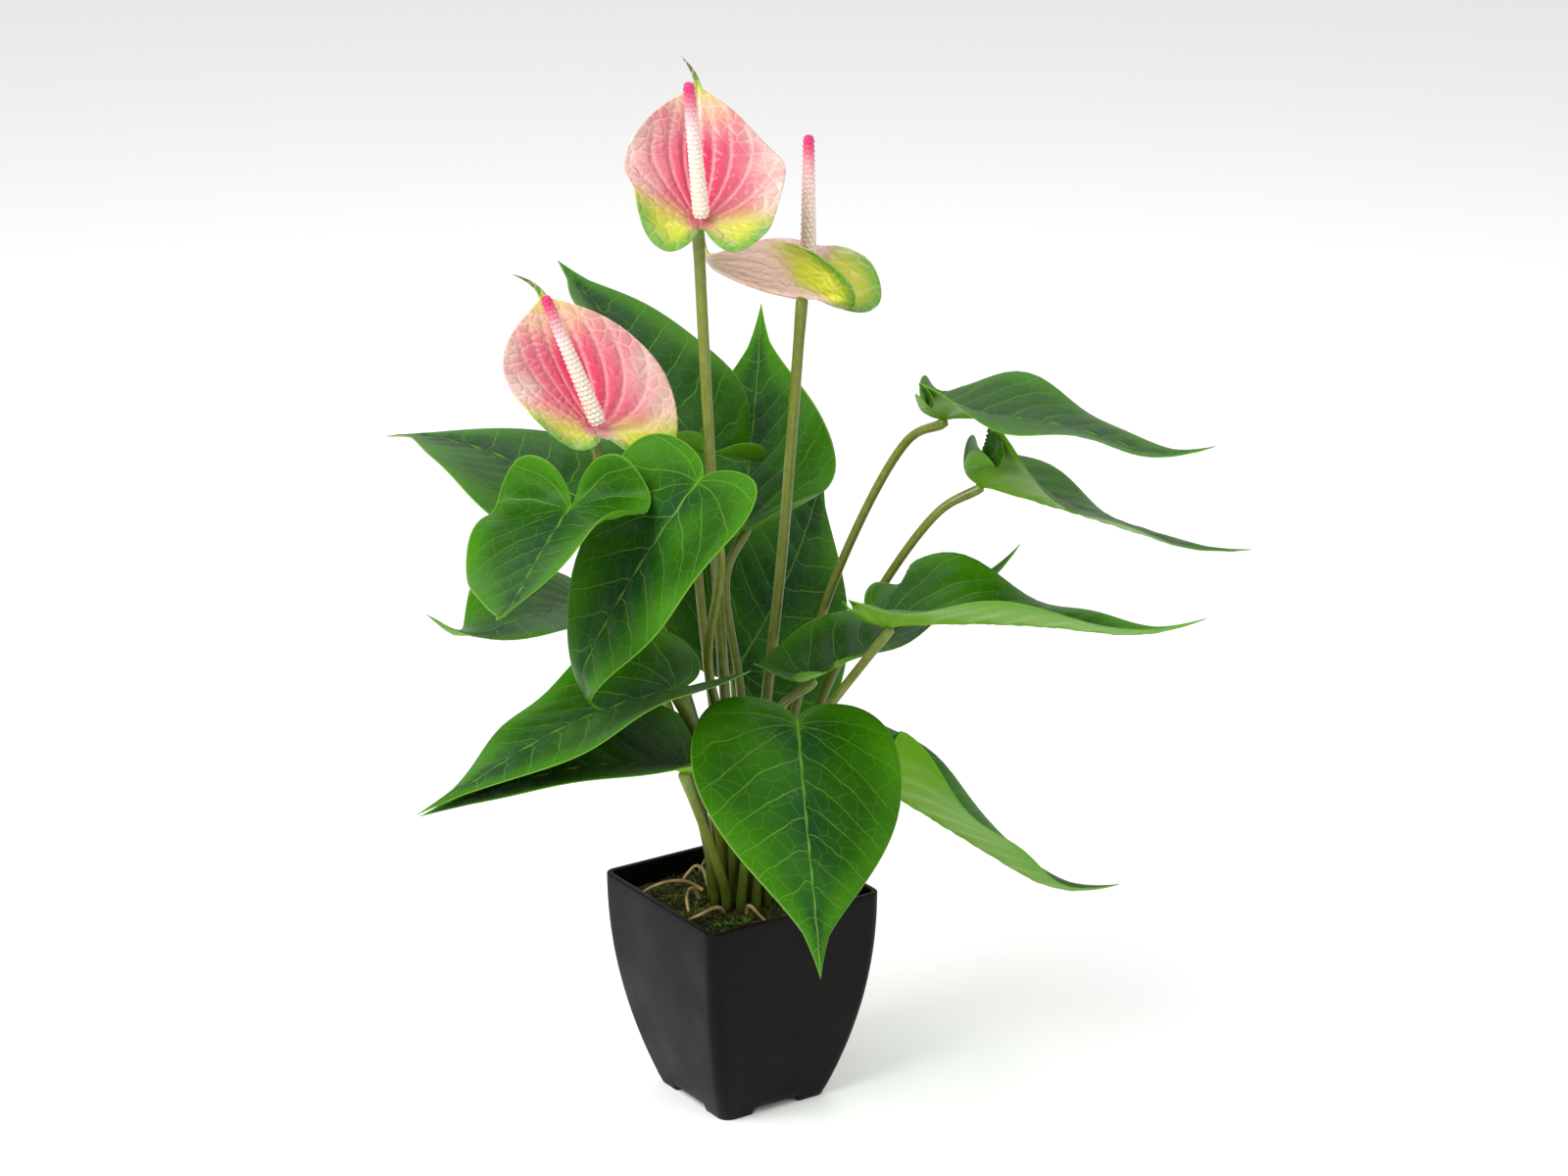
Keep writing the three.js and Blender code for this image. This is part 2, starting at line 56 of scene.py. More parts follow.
def toLinear(hexColour):
    parts = [int(hexColour[i : i + 2], 16) / 255 for i in (0, 2, 4)]
    return tuple(c / 12.92 if c <= 0.04045 else ((c + 0.055) / 1.055) ** 2.4 for c in parts) + (1.0,)


def addNode(tree, kind, inputs=None, **settings):
    # inputs go by name or place: a map range takes its value at 0, reads from 1 to 2 and gives from 3 to 4
    node = tree.nodes.new(kind)
    for name, value in settings.items():
        setattr(node, name, value)
    for name, value in (inputs or {}).items():
        if isinstance(value, bpy.types.NodeSocket):
            tree.links.new(value, node.inputs[name])
        else:
            node.inputs[name].default_value = value
    return node


def startMaterial(name, **shader):
    # gives the material's tree and its surface shader, with the even settings on the shader's own sockets
    material = bpy.data.materials.new(name)
    material.use_nodes = True
    tree = material.node_tree
    surface = tree.nodes["Principled BSDF"]
    for socket, value in shader.items():
        surface.inputs[socket.replace("_", " ")].default_value = value
    return material, tree, surface


def ease(value, low, high):
    share = np.clip((np.asarray(value, dtype=float) - low) / (high - low), 0, 1)
    return share * share * (3 - 2 * share)


def blend(first, second, share):
    # from the first colour to the second by each point's share; a colour is one hex value or one per point
    first, second = [np.array(toLinear(c)) if isinstance(c, str) else c for c in (first, second)]
    return first + (second - first) * np.clip(share, 0, 1)[:, None]


def mottle(x, y, size, seed):
    # soft patches about as wide as size, between -1 and 1
    draw = random.Random(seed)
    total = np.zeros_like(x, dtype=float)
    for _ in range(5):
        angle = draw.uniform(0, 2 * math.pi)
        scale = draw.uniform(0.7, 1.5) * math.pi / size
        total += np.sin((x * math.cos(angle) + y * math.sin(angle)) * scale + draw.uniform(0, 6.3))
    return total / 3


def toPot(points):
    # from the plant's frame in mm to the row frame in metres
    points = np.asarray(points, dtype=float)
    turn = np.array(
        [
            [math.cos(plantTurn), -math.sin(plantTurn), 0],
            [math.sin(plantTurn), math.cos(plantTurn), 0],
            [0, 0, 1],
        ]
    )
    return (points @ turn.T + np.array([0, 0, crownTop])) * mm


def addPiece(name, points, faces, material, node, slot, smooth=True, **layers):
    # one mesh object from points in metres, its colours and other values kept per point
    mesh = bpy.data.meshes.new(name)
    mesh.from_pydata([tuple(p) for p in points], [], faces)
    mesh.materials.append(material)
    for layer, values in layers.items():
        kind = "FLOAT_COLOR" if values.shape[1] == 4 else "FLOAT_VECTOR"
        data = mesh.attributes.new(layer, kind, "POINT").data
        data.foreach_set("color" if kind == "FLOAT_COLOR" else "vector", values.astype(np.float32).ravel())
    mesh.polygons.foreach_set("use_smooth", [smooth] * len(mesh.polygons))
    piece = bpy.data.objects.new(name, mesh)
    bpy.context.scene.collection.objects.link(piece)
    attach(piece, "root")
    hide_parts(node)
    return piece


# tubes: petioles, flower stalks, roots


def smoothPath(points, perStretch):
    # a centripetal curve through every point, as the solids follow
    points = [np.array(p, dtype=float) for p in points]
    path = []
    for i in range(len(points) - 1):
        p1, p2 = points[i], points[i + 1]
        p0 = points[i - 1] if i else 2 * p1 - p2
        p3 = points[i + 2] if i + 2 < len(points) else 2 * p2 - p1
        d0, d1, d2 = [math.sqrt(np.linalg.norm(span)) or 1e-6 for span in (p1 - p0, p2 - p1, p3 - p2)]
        t1 = ((p1 - p0) / d0 - (p2 - p0) / (d0 + d1) + (p2 - p1) / d1) * d1
        t2 = ((p2 - p1) / d1 - (p3 - p1) / (d1 + d2) + (p3 - p2) / d2) * d1
        for k in range(perStretch):
            t = k / perStretch
            c2, c3 = -3 * p1 + 3 * p2 - 2 * t1 - t2, 2 * p1 - 2 * p2 + t1 + t2
            path.append(p1 + t1 * t + c2 * t * t + c3 * t**3)
    path.append(points[-1])
    return np.array(path)


def ringFaces(rings, around, inward=False):
    # faces between rings of points that lie one after another
    faces = []
    for r in range(rings):
        for k in range(around):
            low, lowNext = r * around + k, r * around + (k + 1) % around
            face = (low, lowNext, lowNext + around, low + around)
            faces.append((low, *reversed(face[1:])) if inward else face)
    return faces


def tube(path, radii, sides):
    # rings about a path, closed by a point at each end; also gives each point's share of the way
    count = len(path)
    ahead = np.gradient(path, axis=0)
    ahead /= np.linalg.norm(ahead, axis=1)[:, None]
    asideOfAll = [0.31, 0.95, 0.02]  # a direction in which no path starts
    across = np.cross(ahead[0], asideOfAll)
    points, shares = [], []
    for i in range(count):
        across = across - ahead[i] * np.dot(across, ahead[i])
        across /= np.linalg.norm(across)
        other = np.cross(ahead[i], across)
        for k in range(sides):
            angle = 2 * math.pi * k / sides
            points.append(path[i] + (across * math.cos(angle) + other * math.sin(angle)) * radii[i])
            shares.append(i / (count - 1))
    points += [path[0], path[-1]]
    shares += [0, 1]
    faces = ringFaces(count - 1, sides)
    last = (count - 1) * sides
    for k in range(sides):
        faces.append(((k + 1) % sides, k, count * sides))
        faces.append((last + k, last + (k + 1) % sides, count * sides + 1))
    return np.array(points), faces, np.array(shares)


# blades: leaves and spathes, bent from a flat outline

# Poses in mm and degrees, as the solids have them: the joint with the stem, the midrib's heading, pitch
# and roll, the flat size, then the bends of the blade. The foot is the stem's ring and place on the crown,
# the route holds the points that the stem passes, and lean is the way the spadix points.
leaves = {
    "front": dict(
        at=[22, -73, 101], heading=-86, pitch=-28, roll=2, length=112, width=82, lobe=16, droop=7,
        sway=-2, twist=12, fold=-12, furl=6, skew=8, tip=11, lift=-6, wave=-1, phase=0, foot=[2, 9],
        route=[[3, -15, 32], [12, -44, 67]],
    ),
    "front_right": dict(
        at=[44, 0, 56], heading=1, pitch=-34, roll=9, length=121, width=92, lobe=18, fold=18, furl=14,
        skew=4, tip=-44, lift=35, wave=4, phase=0, foot=[2, 11], route=[[13, -7, 26], [27, -5, 44]],
    ),
    "right_low": dict(
        at=[56, -55, 135], heading=-17, pitch=11, roll=7, length=121, width=92, lobe=19, droop=22,
        sway=-10, twist=6, fold=14, furl=14, cup=-5, skew=3, tip=-33, lift=50, wave=6, phase=0.3,
        foot=[2, 0], route=[[21, -7, 65], [34, -43, 98]],
    ),
    "right_back": dict(
        at=[27, -28, 104], heading=33, pitch=15, roll=8, length=106, width=64, lobe=16, fold=14,
        furl=6, cup=-5, skew=4, tip=-25, lift=45, wave=3, phase=0.1, foot=[2, 10],
        route=[[11, -11, 62], [15, -15, 86]],
    ),
    "right_high": dict(
        at=[77, -8, 202], heading=-12, pitch=8, roll=3, length=106, width=81, lobe=18, droop=40,
        twist=-10, fold=6, furl=18, cup=-4, skew=8, tip=-50, lift=70, wave=6, phase=0.1, foot=[1, 0],
        route=[[20, 9, 72], [37, 18, 129], [64, 9, 187]],
    ),
    "right_mid": dict(
        at=[93, 18, 167], heading=-12, pitch=-12, roll=7, length=108, width=85, lobe=19, droop=7,
        sway=-4, twist=-12, fold=4, furl=34, cup=-5, skew=15, tip=-24, lift=64, wave=5, phase=0.1,
        foot=[2, 1], route=[[26, 12, 64], [43, 21, 102], [77, 20, 155]],
    ),
    "back": dict(
        at=[1, 50, 140], heading=87, pitch=17, roll=28, length=114, width=86, lobe=19, droop=-30,
        sway=20, twist=3, fold=7, furl=-5, cup=8, tip=-4, lift=36, wave=-4, phase=-0.1, foot=[1, 1],
        route=[[0, 21, 77], [-6, 39, 122]],
    ),
    "back_left": dict(
        at=[-19, 42, 176], heading=132, pitch=45, roll=-22, length=112, width=84, lobe=19, droop=29,
        sway=25, twist=27, fold=20, furl=-12, cup=-10, skew=-3, tip=-9, lift=94, wave=-3, phase=0.25,
        foot=[2, 4], route=[[-9, 14, 55], [-15, 23, 107]],
    ),
    "centre_back": dict(
        at=[-2, 46, 81], heading=53, pitch=35, roll=-45, length=113, width=86, lobe=17, droop=31,
        sway=-13, twist=-7, cup=-5, skew=-10, tip=-10, lift=40, wave=1, phase=0, foot=[2, 3],
        route=[[-1, 22, 43]],
    ),
    "centre_front": dict(
        at=[-15, -71, 196], heading=-150, pitch=-46, roll=20, length=111, width=80, lobe=11, droop=30,
        sway=3, furl=2, cup=10, skew=-14, tip=74, lift=-10, wave=4, phase=0.1, foot=[1, 4],
        route=[[-6, -28, 78], [-12, -35, 112], [-7, -54, 162]],
    ),
    "left_front": dict(
        at=[-63, -60, 182], heading=-106, pitch=-10, roll=-7, length=98, width=69, lobe=23, sway=-7,
        twist=-15, fold=8, furl=-10, skew=-9, tip=-20, lift=71, wave=5, phase=-0.1, foot=[2, 7],
        route=[[-19, -5, 51], [-33, -2, 96], [-50, -18, 137]],
    ),
    "left_high": dict(
        at=[-57, 0, 163], heading=139, pitch=19, roll=1, length=114, width=87, lobe=18, droop=31,
        twist=-11, fold=6, skew=2, tip=3, wave=2, phase=-0.1, foot=[2, 5],
        route=[[-13, 9, 47], [-29, 2, 109]],
    ),
    "left_mid": dict(
        at=[-59, 47, 106], heading=246, pitch=20, roll=-14, length=111, width=83, lobe=19, droop=24,
        sway=23, twist=-2, fold=-9, furl=39, cup=8, skew=11, tip=-52, lift=10, wave=5, phase=-0.25,
        foot=[2, 6], route=[[-17, 3, 44], [-40, 13, 94]],
    ),
    "left_low": dict(
        at=[-25, -47, 106], heading=211, pitch=0, roll=-6, length=114, width=86, lobe=20, droop=34,
        sway=2, twist=-4, fold=-3, furl=23, cup=9, tip=-15, lift=-4, wave=4, phase=0.05, foot=[1, 3],
        route=[[-8, -9, 28], [-15, -44, 83]],
    ),
    "left_lowest": dict(
        at=[-21, -43, 72], heading=213, pitch=22, roll=2, length=115, width=88, lobe=18, droop=45,
        sway=2, fold=11, furl=10, cup=11, tip=-15, wave=-2, phase=0, foot=[2, 8],
        route=[[-11, -18, 28]],
    ),
}

blossoms = {
    "top": dict(
        at=[-15, -8, 278], heading=92, pitch=39, roll=-12, length=68, width=63, lobe=19, droop=-29,
        sway=-6, twist=-17, fold=14, furl=9, cup=3, skew=2, tip=8, lift=6, wave=-5, phase=0.05,
        foot=[0, 0], route=[[-6, -5, 87], [-11, -7, 178]], lean=[-1, -2, 12],
    ),
    "right": dict(
        at=[24, 17, 242], heading=149, pitch=0, roll=-25, length=62, width=61, lobe=25, droop=-23,
        sway=10, twist=20, fold=35, furl=19, cup=-10, skew=10, tip=-60, lift=-23, wave=-1, phase=-0.25,
        foot=[1, 5], route=[[10, -1, 85], [16, 15, 139]], lean=[0, 0, 1],
    ),
    "left": dict(
        at=[-54, -32, 204], heading=110, pitch=31, roll=-9, length=73, width=71, lobe=18, droop=-26,
        sway=-19, twist=9, fold=10, furl=2, cup=2, skew=-7, tip=2, lift=8, wave=1, phase=-0.3,
        foot=[1, 2], route=[[-8, 2, 33], [-22, 0, 83], [-48, -19, 161]], lean=[-19, -4, 50],
    ),
}

bladeThickness = 0.8
sinusDepth = 0.03  # how far the outline dips behind the joint, as a share of the length
leafLook = dict(
    perStretch=[16, 16, 18, 8],  # points on each curve of the outline
    rings=30,
    quilt=0.35,  # how far the blade bulges between its side veins
    veinGap=14.5,  # distance between neighbouring side veins
    veinMesh=6.0,  # width of the meshes in the net of small veins
    dark="10361a",
    middle="1d4903",
    light="3c7809",
    vein="648f2c",
    under="6f9e2c",
    underEdge="5a9418",
)
spatheLook = dict(
    perStretch=[18, 18, 20, 12],
    rings=44,
    quilt=0.4,
    veinTurn=0.36,  # angle between neighbouring arched veins
    veinMesh=5.0,
    heart="bb1f48",
    flesh="c06072",
    cream="bb9b90",
    yellow="b0b428",
    green="4f8a16",
    tail="4c5518",
    # painted light: the outside's pale peach, brightened past its own colour to lift it out of its shade
    paleLitOutside="ffdccb",
    # painted light: the bright yellow of the outside's lobes as if lit
    lit="dfe04a",
    peach="cfa070",
    line="ecc2bc",
)


def bladeOutline(blade, look, kind):
    # one half as four curves from the sinus to the tip, then its mirror image, counter-clockwise
    a, b = blade["width"] / blade["length"] / 2, blade["lobe"] / blade["length"]
    if kind == "leaf":
        stretches = [
            [0, -sinusDepth, 0.06 * a, -0.6 * b, 0.22 * a, -b, 0.5 * a, -b],
            [0.5 * a, -b, 0.82 * a, -b, a, -0.02, a, 0.16],
            [a, 0.16, a, 0.42, 0.42 * a, 0.66, 0.13 * a, 0.84],
            [0.13 * a, 0.84, 0.07 * a, 0.9, 0.03 * a, 0.95, 0, 1],
        ]
    else:
        stretches = [
            [0, -sinusDepth, 0.05 * a, -0.65 * b, 0.16 * a, -b, 0.42 * a, -b],
            [0.42 * a, -b, 0.8 * a, -b, a, -0.04, a, 0.26],
            [a, 0.26, a, 0.56, 0.42 * a, 0.73, 0.07 * a, 0.82],
            [0.07 * a, 0.82, 0.03 * a, 0.86, 0.04 * a, 0.94, 0, 1],
        ]
    half = []
    for stretch, count in zip(stretches, look["perStretch"]):
        p = np.array(stretch, dtype=float).reshape(4, 2)
        for k in range(count):
            t = k / count
            half.append(
                p[0] * (1 - t) ** 3 + 3 * p[1] * t * (1 - t) ** 2 + 3 * p[2] * t * t * (1 - t) + p[3] * t**3
            )
    other = [np.array([-p[0], p[1]]) for p in half[:0:-1]]
    return np.array(half + [np.array([0, 1.0])] + other) * blade["length"]


bends = "droop sway twist fold furl cup skew tip lift wave hook flare".split()


def bend(blade, x, y):
    # flat points to their places in the blade's frame: X across, Y along the midrib, Z out of its face
    part = {key: blade.get(key, 0) for key in bends}
    length, half = blade["length"], blade["width"] / 2

    def slopeAt(u):
        return np.radians(
            -part["droop"] * np.maximum(u, 0)
            + part["lift"] * ease(-u, 0, 0.12)
            - part["tip"] * ease(u, 0.62, 1)
        )

    def alongAt(u):
        slope, turn = slopeAt(u), np.radians(part["sway"] * np.maximum(u, 0))
        ahead = np.stack([np.sin(turn) * np.cos(slope), np.cos(turn) * np.cos(slope), np.sin(slope)], -1)
        behind = np.stack([0 * slope, np.cos(slope), -np.sin(slope)], -1)
        return np.where((u < 0)[..., None], behind, ahead)

    step = 0.01
    middles = (np.arange(-40, 100) + 0.5) * step
    stops = np.vstack([np.zeros(3), np.cumsum(alongAt(middles), axis=0)]) * step * length
    stops -= stops[40]
    places = np.arange(-40, 101) * step

    u, side, share = y / length, np.sign(x), np.abs(x) / half
    midrib = np.stack([np.interp(u, places, stops[:, k]) for k in range(3)], -1)
    turn = np.radians(part["sway"] * np.maximum(u, 0))
    along = alongAt(u)
    across = np.stack([np.cos(turn), -np.sin(turn), 0 * turn], -1)
    out = np.cross(across, along)
    spin = np.radians(part["twist"] * u)[:, None]
    acrossSpun = across * np.cos(spin) + out * np.sin(spin)
    outSpun = out * np.cos(spin) - across * np.sin(spin)
    # lobes that are lifted lie flatter
    level = 1 - 0.5 * max(0, math.sin(math.radians(part["lift"]))) * ease(-u, 0, 0.12)
    start = level * np.radians(part["fold"] + part["furl"] * (1 - ease(u, -0.2, 0.5)) + part["skew"] * side)
    curl = math.radians(part["cup"]) or 1e-4
    reach = half * (np.sin(start + curl * share) - np.sin(start)) / curl
    ripple = np.sin(2 * np.pi * (1.5 * u + blade["phase"] + 0.25 * side))
    height = half * (np.cos(start) - np.cos(start + curl * share)) / curl + part["wave"] * share**2 * ripple
    # the lobes flare forward beside the sinus, and the tail curls aside
    height += part["flare"] * ease(-u, 0.02, 0.14) * (1 - ease(share, 0.08, 0.5))
    tail = np.clip((u - 0.84) / 0.16, 0, 1)
    aside = side * reach + part["hook"] * tail**2
    return midrib + acrossSpun * aside[:, None] + outSpun * height[:, None]


def faceOut(blade, x, y):
    # the way the upper face looks at each point
    probe = 0.4
    across = bend(blade, x + probe, y) - bend(blade, x - probe, y)
    along = bend(blade, x, y + probe) - bend(blade, x, y - probe)
    out = np.cross(across, along)
    return out / np.linalg.norm(out, axis=1)[:, None]


def bladeAxes(blade):
    # the plant frame's directions across the blade, along its midrib and out of its face
    heading, pitch, roll = [math.radians(blade[key]) for key in ("heading", "pitch", "roll")]
    along = np.array(
        [math.cos(heading) * math.cos(pitch), math.sin(heading) * math.cos(pitch), math.sin(pitch)]
    )
    level = np.array([math.sin(heading), -math.cos(heading), 0])
    up = np.cross(level, along)
    across = level * math.cos(roll) + up * math.sin(roll)
    return across, along, np.cross(across, along)


def leafVeins(blade, x, y):
    # which side vein a point lies by: whole numbers are on a vein, those below 0 start at the joint
    reach = np.abs(x)
    gap = leafLook["veinGap"] * np.where(x > 0, 1, 0.86)
    sweep = 0.42 * reach + 0.012 * reach**2  # side veins slant and curve towards the tip
    start = y - sweep
    pinnate = start / gap
    radius = np.hypot(x, y)
    angle = np.arctan2(y, reach + 1e-6)
    edge = np.arctan2(sweep, reach + 1e-6)
    behind = (angle - edge) / math.radians(30) * (1 + 0.008 * radius)
    return np.where(start > 0, pinnate, behind)


def spatheVeins(blade, x, y):
    # veins arch from the joint to the tip, each seeing both under one even angle
    toJoint = np.arctan2(y, np.abs(x) + 1e-6)
    toTip = np.arctan2(y - blade["length"], np.abs(x) + 1e-6)
    return (math.pi - (toJoint - toTip)) / spatheLook["veinTurn"]


def flatBlade(blade, look, kind):
    # rings of the outline drawn in towards one point on the midrib
    outline = bladeOutline(blade, look, kind)
    centre = np.array([0, 0.3 * blade["length"]])
    shares = np.linspace(0, 1, look["rings"] + 1)[1:]
    flat = np.vstack([centre[None]] + [centre + (outline - centre) * s for s in shares])
    farIn = 99.0  # the middle point's own distance from the margin, past where any colour changes
    reach = np.linalg.norm(outline - centre, axis=1)
    margin = np.concatenate([[farIn]] + [(1 - s) * reach for s in shares])
    count, faces = len(outline), []
    for i in range(count):
        j = (i + 1) % count
        faces.append((0, 1 + i, 1 + j))
        for r in range(look["rings"] - 1):
            inner = 1 + r * count
            faces.append((inner + i, inner + count + i, inner + count + j, inner + j))
    return flat, margin, faces, count


def makeBlade(kind, name, blade, look, veins, paint, material):
    flat, margin, faces, count = flatBlade(blade, look, kind)
    x, y = flat[:, 0], flat[:, 1]
    vein = veins(blade, x, y)
    # the distance between neighbouring veins at each point
    probe = 0.3
    gap = 1 / np.maximum(
        np.hypot(
            (veins(blade, np.abs(x) + probe, y) - veins(blade, np.abs(x), y)) / probe,
            (veins(blade, x, y + probe) - veins(blade, x, y)) / probe,
        ),
        0.01,
    )
    out = faceOut(blade, x, y)
    quilt = -look["quilt"] * np.cos(2 * math.pi * vein) * ease(margin, 0, 9) * ease(gap, 1, 7)
    fine = np.minimum(bladeThickness / 2, 0.15 + 0.06 * margin)  # thins out towards the margin
    rib = np.exp(-((x / 1.3) ** 2)) * (1 - y / blade["length"])  # sunk above and proud below
    surface = bend(blade, x, y) + out * quilt[:, None]
    upper = surface + out * (fine - 0.12 * rib)[:, None]
    lower = surface - out * (fine + 0.7 * rib * ease(margin, 0, 4))[:, None]
    axes = np.stack(bladeAxes(blade))
    points = toPot(np.vstack([upper, lower]) @ axes + np.array(blade["at"], dtype=float))
    under, rim = len(flat), 1 + (look["rings"] - 1) * count
    allFaces = list(faces) + [tuple(under + v for v in reversed(face)) for face in faces]
    for i in range(count):
        j = (i + 1) % count
        allFaces.append((rim + i, under + rim + i, under + rim + j, rim + j))
    place = np.stack([x, y, margin], -1)
    run = np.stack([vein, np.minimum(gap, 40), y / blade["length"]], -1)
    return addPiece(
        kind + "_" + name + "_blade",
        points,
        allFaces,
        material,
        kind + "_" + name,
        kind,
        tint=np.vstack(paint(blade, look, x, y, margin, vein, gap)),
        place=np.vstack([place, place]),
        run=np.vstack([run, run]),
    )


def paintLeaf(blade, look, x, y, margin, vein, gap):
    # deepest green along the midrib, lighter towards the margin with painted light shining through the thin
    # edge, and in soft patches; paler below
    seed = int(abs(blade["heading"]) * 7 + blade["at"][2])
    patch = mottle(x, y, 22, seed)
    nearRib = np.exp(-((x / 11) ** 2)) * ease(margin, 2, 16)
    top = blend(look["middle"], look["dark"], nearRib * 0.8)
    # painted light: the lighter band along the margin stands in for light through the thin edge
    top = blend(top, look["light"], 0.5 * ease(-margin, -17, 0) + 0.24 * patch + 0.05)
    low = blend(look["under"], look["underEdge"], ease(-margin, -22, 0))
    return top, low


def bladeMaterial(name, **shader):
    # what both tissues start from: the tint, the flat place with the margin's distance, and the vein number
    material, tree, surface = startMaterial(name, **shader)
    tint, place, run = [
        addNode(tree, "ShaderNodeAttribute", attribute_name=layer) for layer in ("tint", "place", "run")
    ]
    flat, way = [
        addNode(tree, "ShaderNodeSeparateXYZ", {0: layer.outputs["Vector"]}) for layer in (place, run)
    ]
    return material, tree, surface, tint, place, flat, way


def veinedLeaf():
    # Leathery leaf tissue with a waxy skin: a satin sheen over deep green, pale veins standing in relief.
    material, tree, surface, tint, place, flat, way = bladeMaterial(
        "waxyVeinedLeaf", Roughness=0.36, IOR=1.4, Specular_IOR_Level=0.12
    )
    wander = addNode(
        tree, "ShaderNodeTexNoise", {"Vector": place.outputs["Vector"], "Scale": 0.05, "Detail": 1.0}
    )
    drift = addNode(tree, "ShaderNodeMapRange", {0: wander.outputs[0], 1: 0.3, 2: 0.7, 3: -0.1, 4: 0.1})
    # side veins lie where the vein number is whole
    wandered = addNode(tree, "ShaderNodeMath", {0: way.outputs[0], 1: drift.outputs[0]}, operation="ADD")
    share = addNode(tree, "ShaderNodeMath", {0: wandered.outputs[0], 1: 0.5}, operation="PINGPONG")
    reach = addNode(tree, "ShaderNodeMath", {0: share.outputs[0], 1: way.outputs[1]}, operation="MULTIPLY")
    wide = addNode(tree, "ShaderNodeMapRange", {0: flat.outputs[2], 1: 0.0, 2: 26.0, 3: 0.25, 4: 0.42})
    side = addNode(
        tree,
        "ShaderNodeMapRange",
        {0: reach.outputs[0], 1: 0.06, 2: wide.outputs[0], 3: 1.0, 4: 0.0},
        interpolation_type="SMOOTHSTEP",
    )
    # the midrib thins out towards the tip
    offRib = addNode(tree, "ShaderNodeMath", {0: flat.outputs[0]}, operation="ABSOLUTE")
    ribWide = addNode(tree, "ShaderNodeMapRange", {0: way.outputs[2], 1: 0.0, 2: 1.0, 3: 0.8, 4: 0.35})
    rib = addNode(
        tree,
        "ShaderNodeMapRange",
        {0: offRib.outputs[0], 1: 0.15, 2: ribWide.outputs[0], 3: 1.0, 4: 0.0},
        interpolation_type="SMOOTHSTEP",
    )
    # a net of small veins
    bent = addNode(
        tree,
        "ShaderNodeMix",
        {0: 0.16, 4: place.outputs["Vector"], 5: wander.outputs[1]},
        data_type="VECTOR",
    )
    net = addNode(
        tree,
        "ShaderNodeTexVoronoi",
        {"Vector": bent.outputs[1], "Scale": 1 / leafLook["veinMesh"]},
        feature="DISTANCE_TO_EDGE",
        voronoi_dimensions="2D",
    )
    netLine = addNode(
        tree,
        "ShaderNodeMapRange",
        {0: net.outputs["Distance"], 1: 0.006, 2: 0.03, 3: 0.24, 4: 0.0},
        interpolation_type="SMOOTHSTEP",
    )
    edge = addNode(
        tree,
        "ShaderNodeMapRange",
        {0: flat.outputs[2], 1: 0.25, 2: 0.75, 3: 0.75, 4: 0.0},
        interpolation_type="SMOOTHSTEP",
    )
    sideShare = addNode(tree, "ShaderNodeMath", {0: side.outputs[0], 1: 0.5}, operation="MULTIPLY")
    ribShare = addNode(tree, "ShaderNodeMath", {0: rib.outputs[0], 1: 0.62}, operation="MULTIPLY")
    most = ribShare
    for other in (sideShare, netLine, edge):
        most = addNode(
            tree, "ShaderNodeMath", {0: most.outputs[0], 1: other.outputs[0]}, operation="MAXIMUM"
        )
    colour = addNode(
        tree,
        "ShaderNodeMix",
        {0: most.outputs[0], 6: tint.outputs["Color"], 7: toLinear(leafLook["vein"])},
        data_type="RGBA",
    )
    tree.links.new(colour.outputs[2], surface.inputs["Base Color"])
    grain = addNode(
        tree, "ShaderNodeTexNoise", {"Vector": place.outputs["Vector"], "Scale": 0.9, "Detail": 3.0}
    )
    height = addNode(tree, "ShaderNodeMath", {0: most.outputs[0], 1: grain.outputs[0]}, operation="ADD")
    relief = addNode(
        tree, "ShaderNodeBump", {"Height": height.outputs[0], "Distance": 0.25 * mm, "Strength": 0.7}
    )
    tree.links.new(relief.outputs[0], surface.inputs["Normal"])
    return material


def paintSpathe(blade, look, x, y, margin, vein, gap):
    # deep pink heart in arched bands, translucent cream outside it, yellow-green lobes and a dark tail
    up, across = y / blade["length"], np.abs(x) / (blade["width"] / 2)
    patch = mottle(x, y, 9, 5 + blade["length"])
    heart = np.exp(-((across / 0.4) ** 2)) * ease(up, -0.04, 0.1) * (1 - ease(up, 0.42, 0.7))
    inner = (1 - ease(across, 0.4, 0.95)) * (1 - ease(up, 0.55, 0.8))
    top = blend(look["cream"], look["flesh"], inner + 0.3 * patch)
    top = blend(top, look["heart"], heart * 1.15)
    top = blend(top, look["peach"], ease(up, 0.5, 0.72) * ease(-across, -0.8, -0.1) * 0.6)
    line = np.exp(-((np.abs(vein - np.round(vein)) * gap / 0.55) ** 2)) * ease(gap, 1.2, 3)
    top = blend(top, look["line"], 0.45 * line)
    lobe = ease(-up, -0.14, 0.1) * ease(across, 0.02, 0.3) * (1 - heart)
    lobe = np.clip(lobe + 0.1 * patch * ease(-up, -0.2, 0), 0, 1)
    green = np.clip(lobe + ease(up, 0.72, 0.84), 0, 1)
    top = blend(top, look["yellow"], green)
    rim = ease(-up, -0.06, 0.14) * ease(-margin, -11, 0)
    top = blend(top, look["green"], rim + ease(up, 0.78, 0.9))
    top = blend(top, look["tail"], ease(up, 0.85, 0.94))
    # the outside is paler, and painted lighter still: painted light in place of the shade it lies in; its
    # lobes are painted a bright, lit yellow
    low = blend(top, look["paleLitOutside"], 0.85 * (1 - green))
    low = blend(low, look["lit"], lobe * (1 - rim))
    low = blend(low, look["green"], 0.5 * rim)
    return top, low


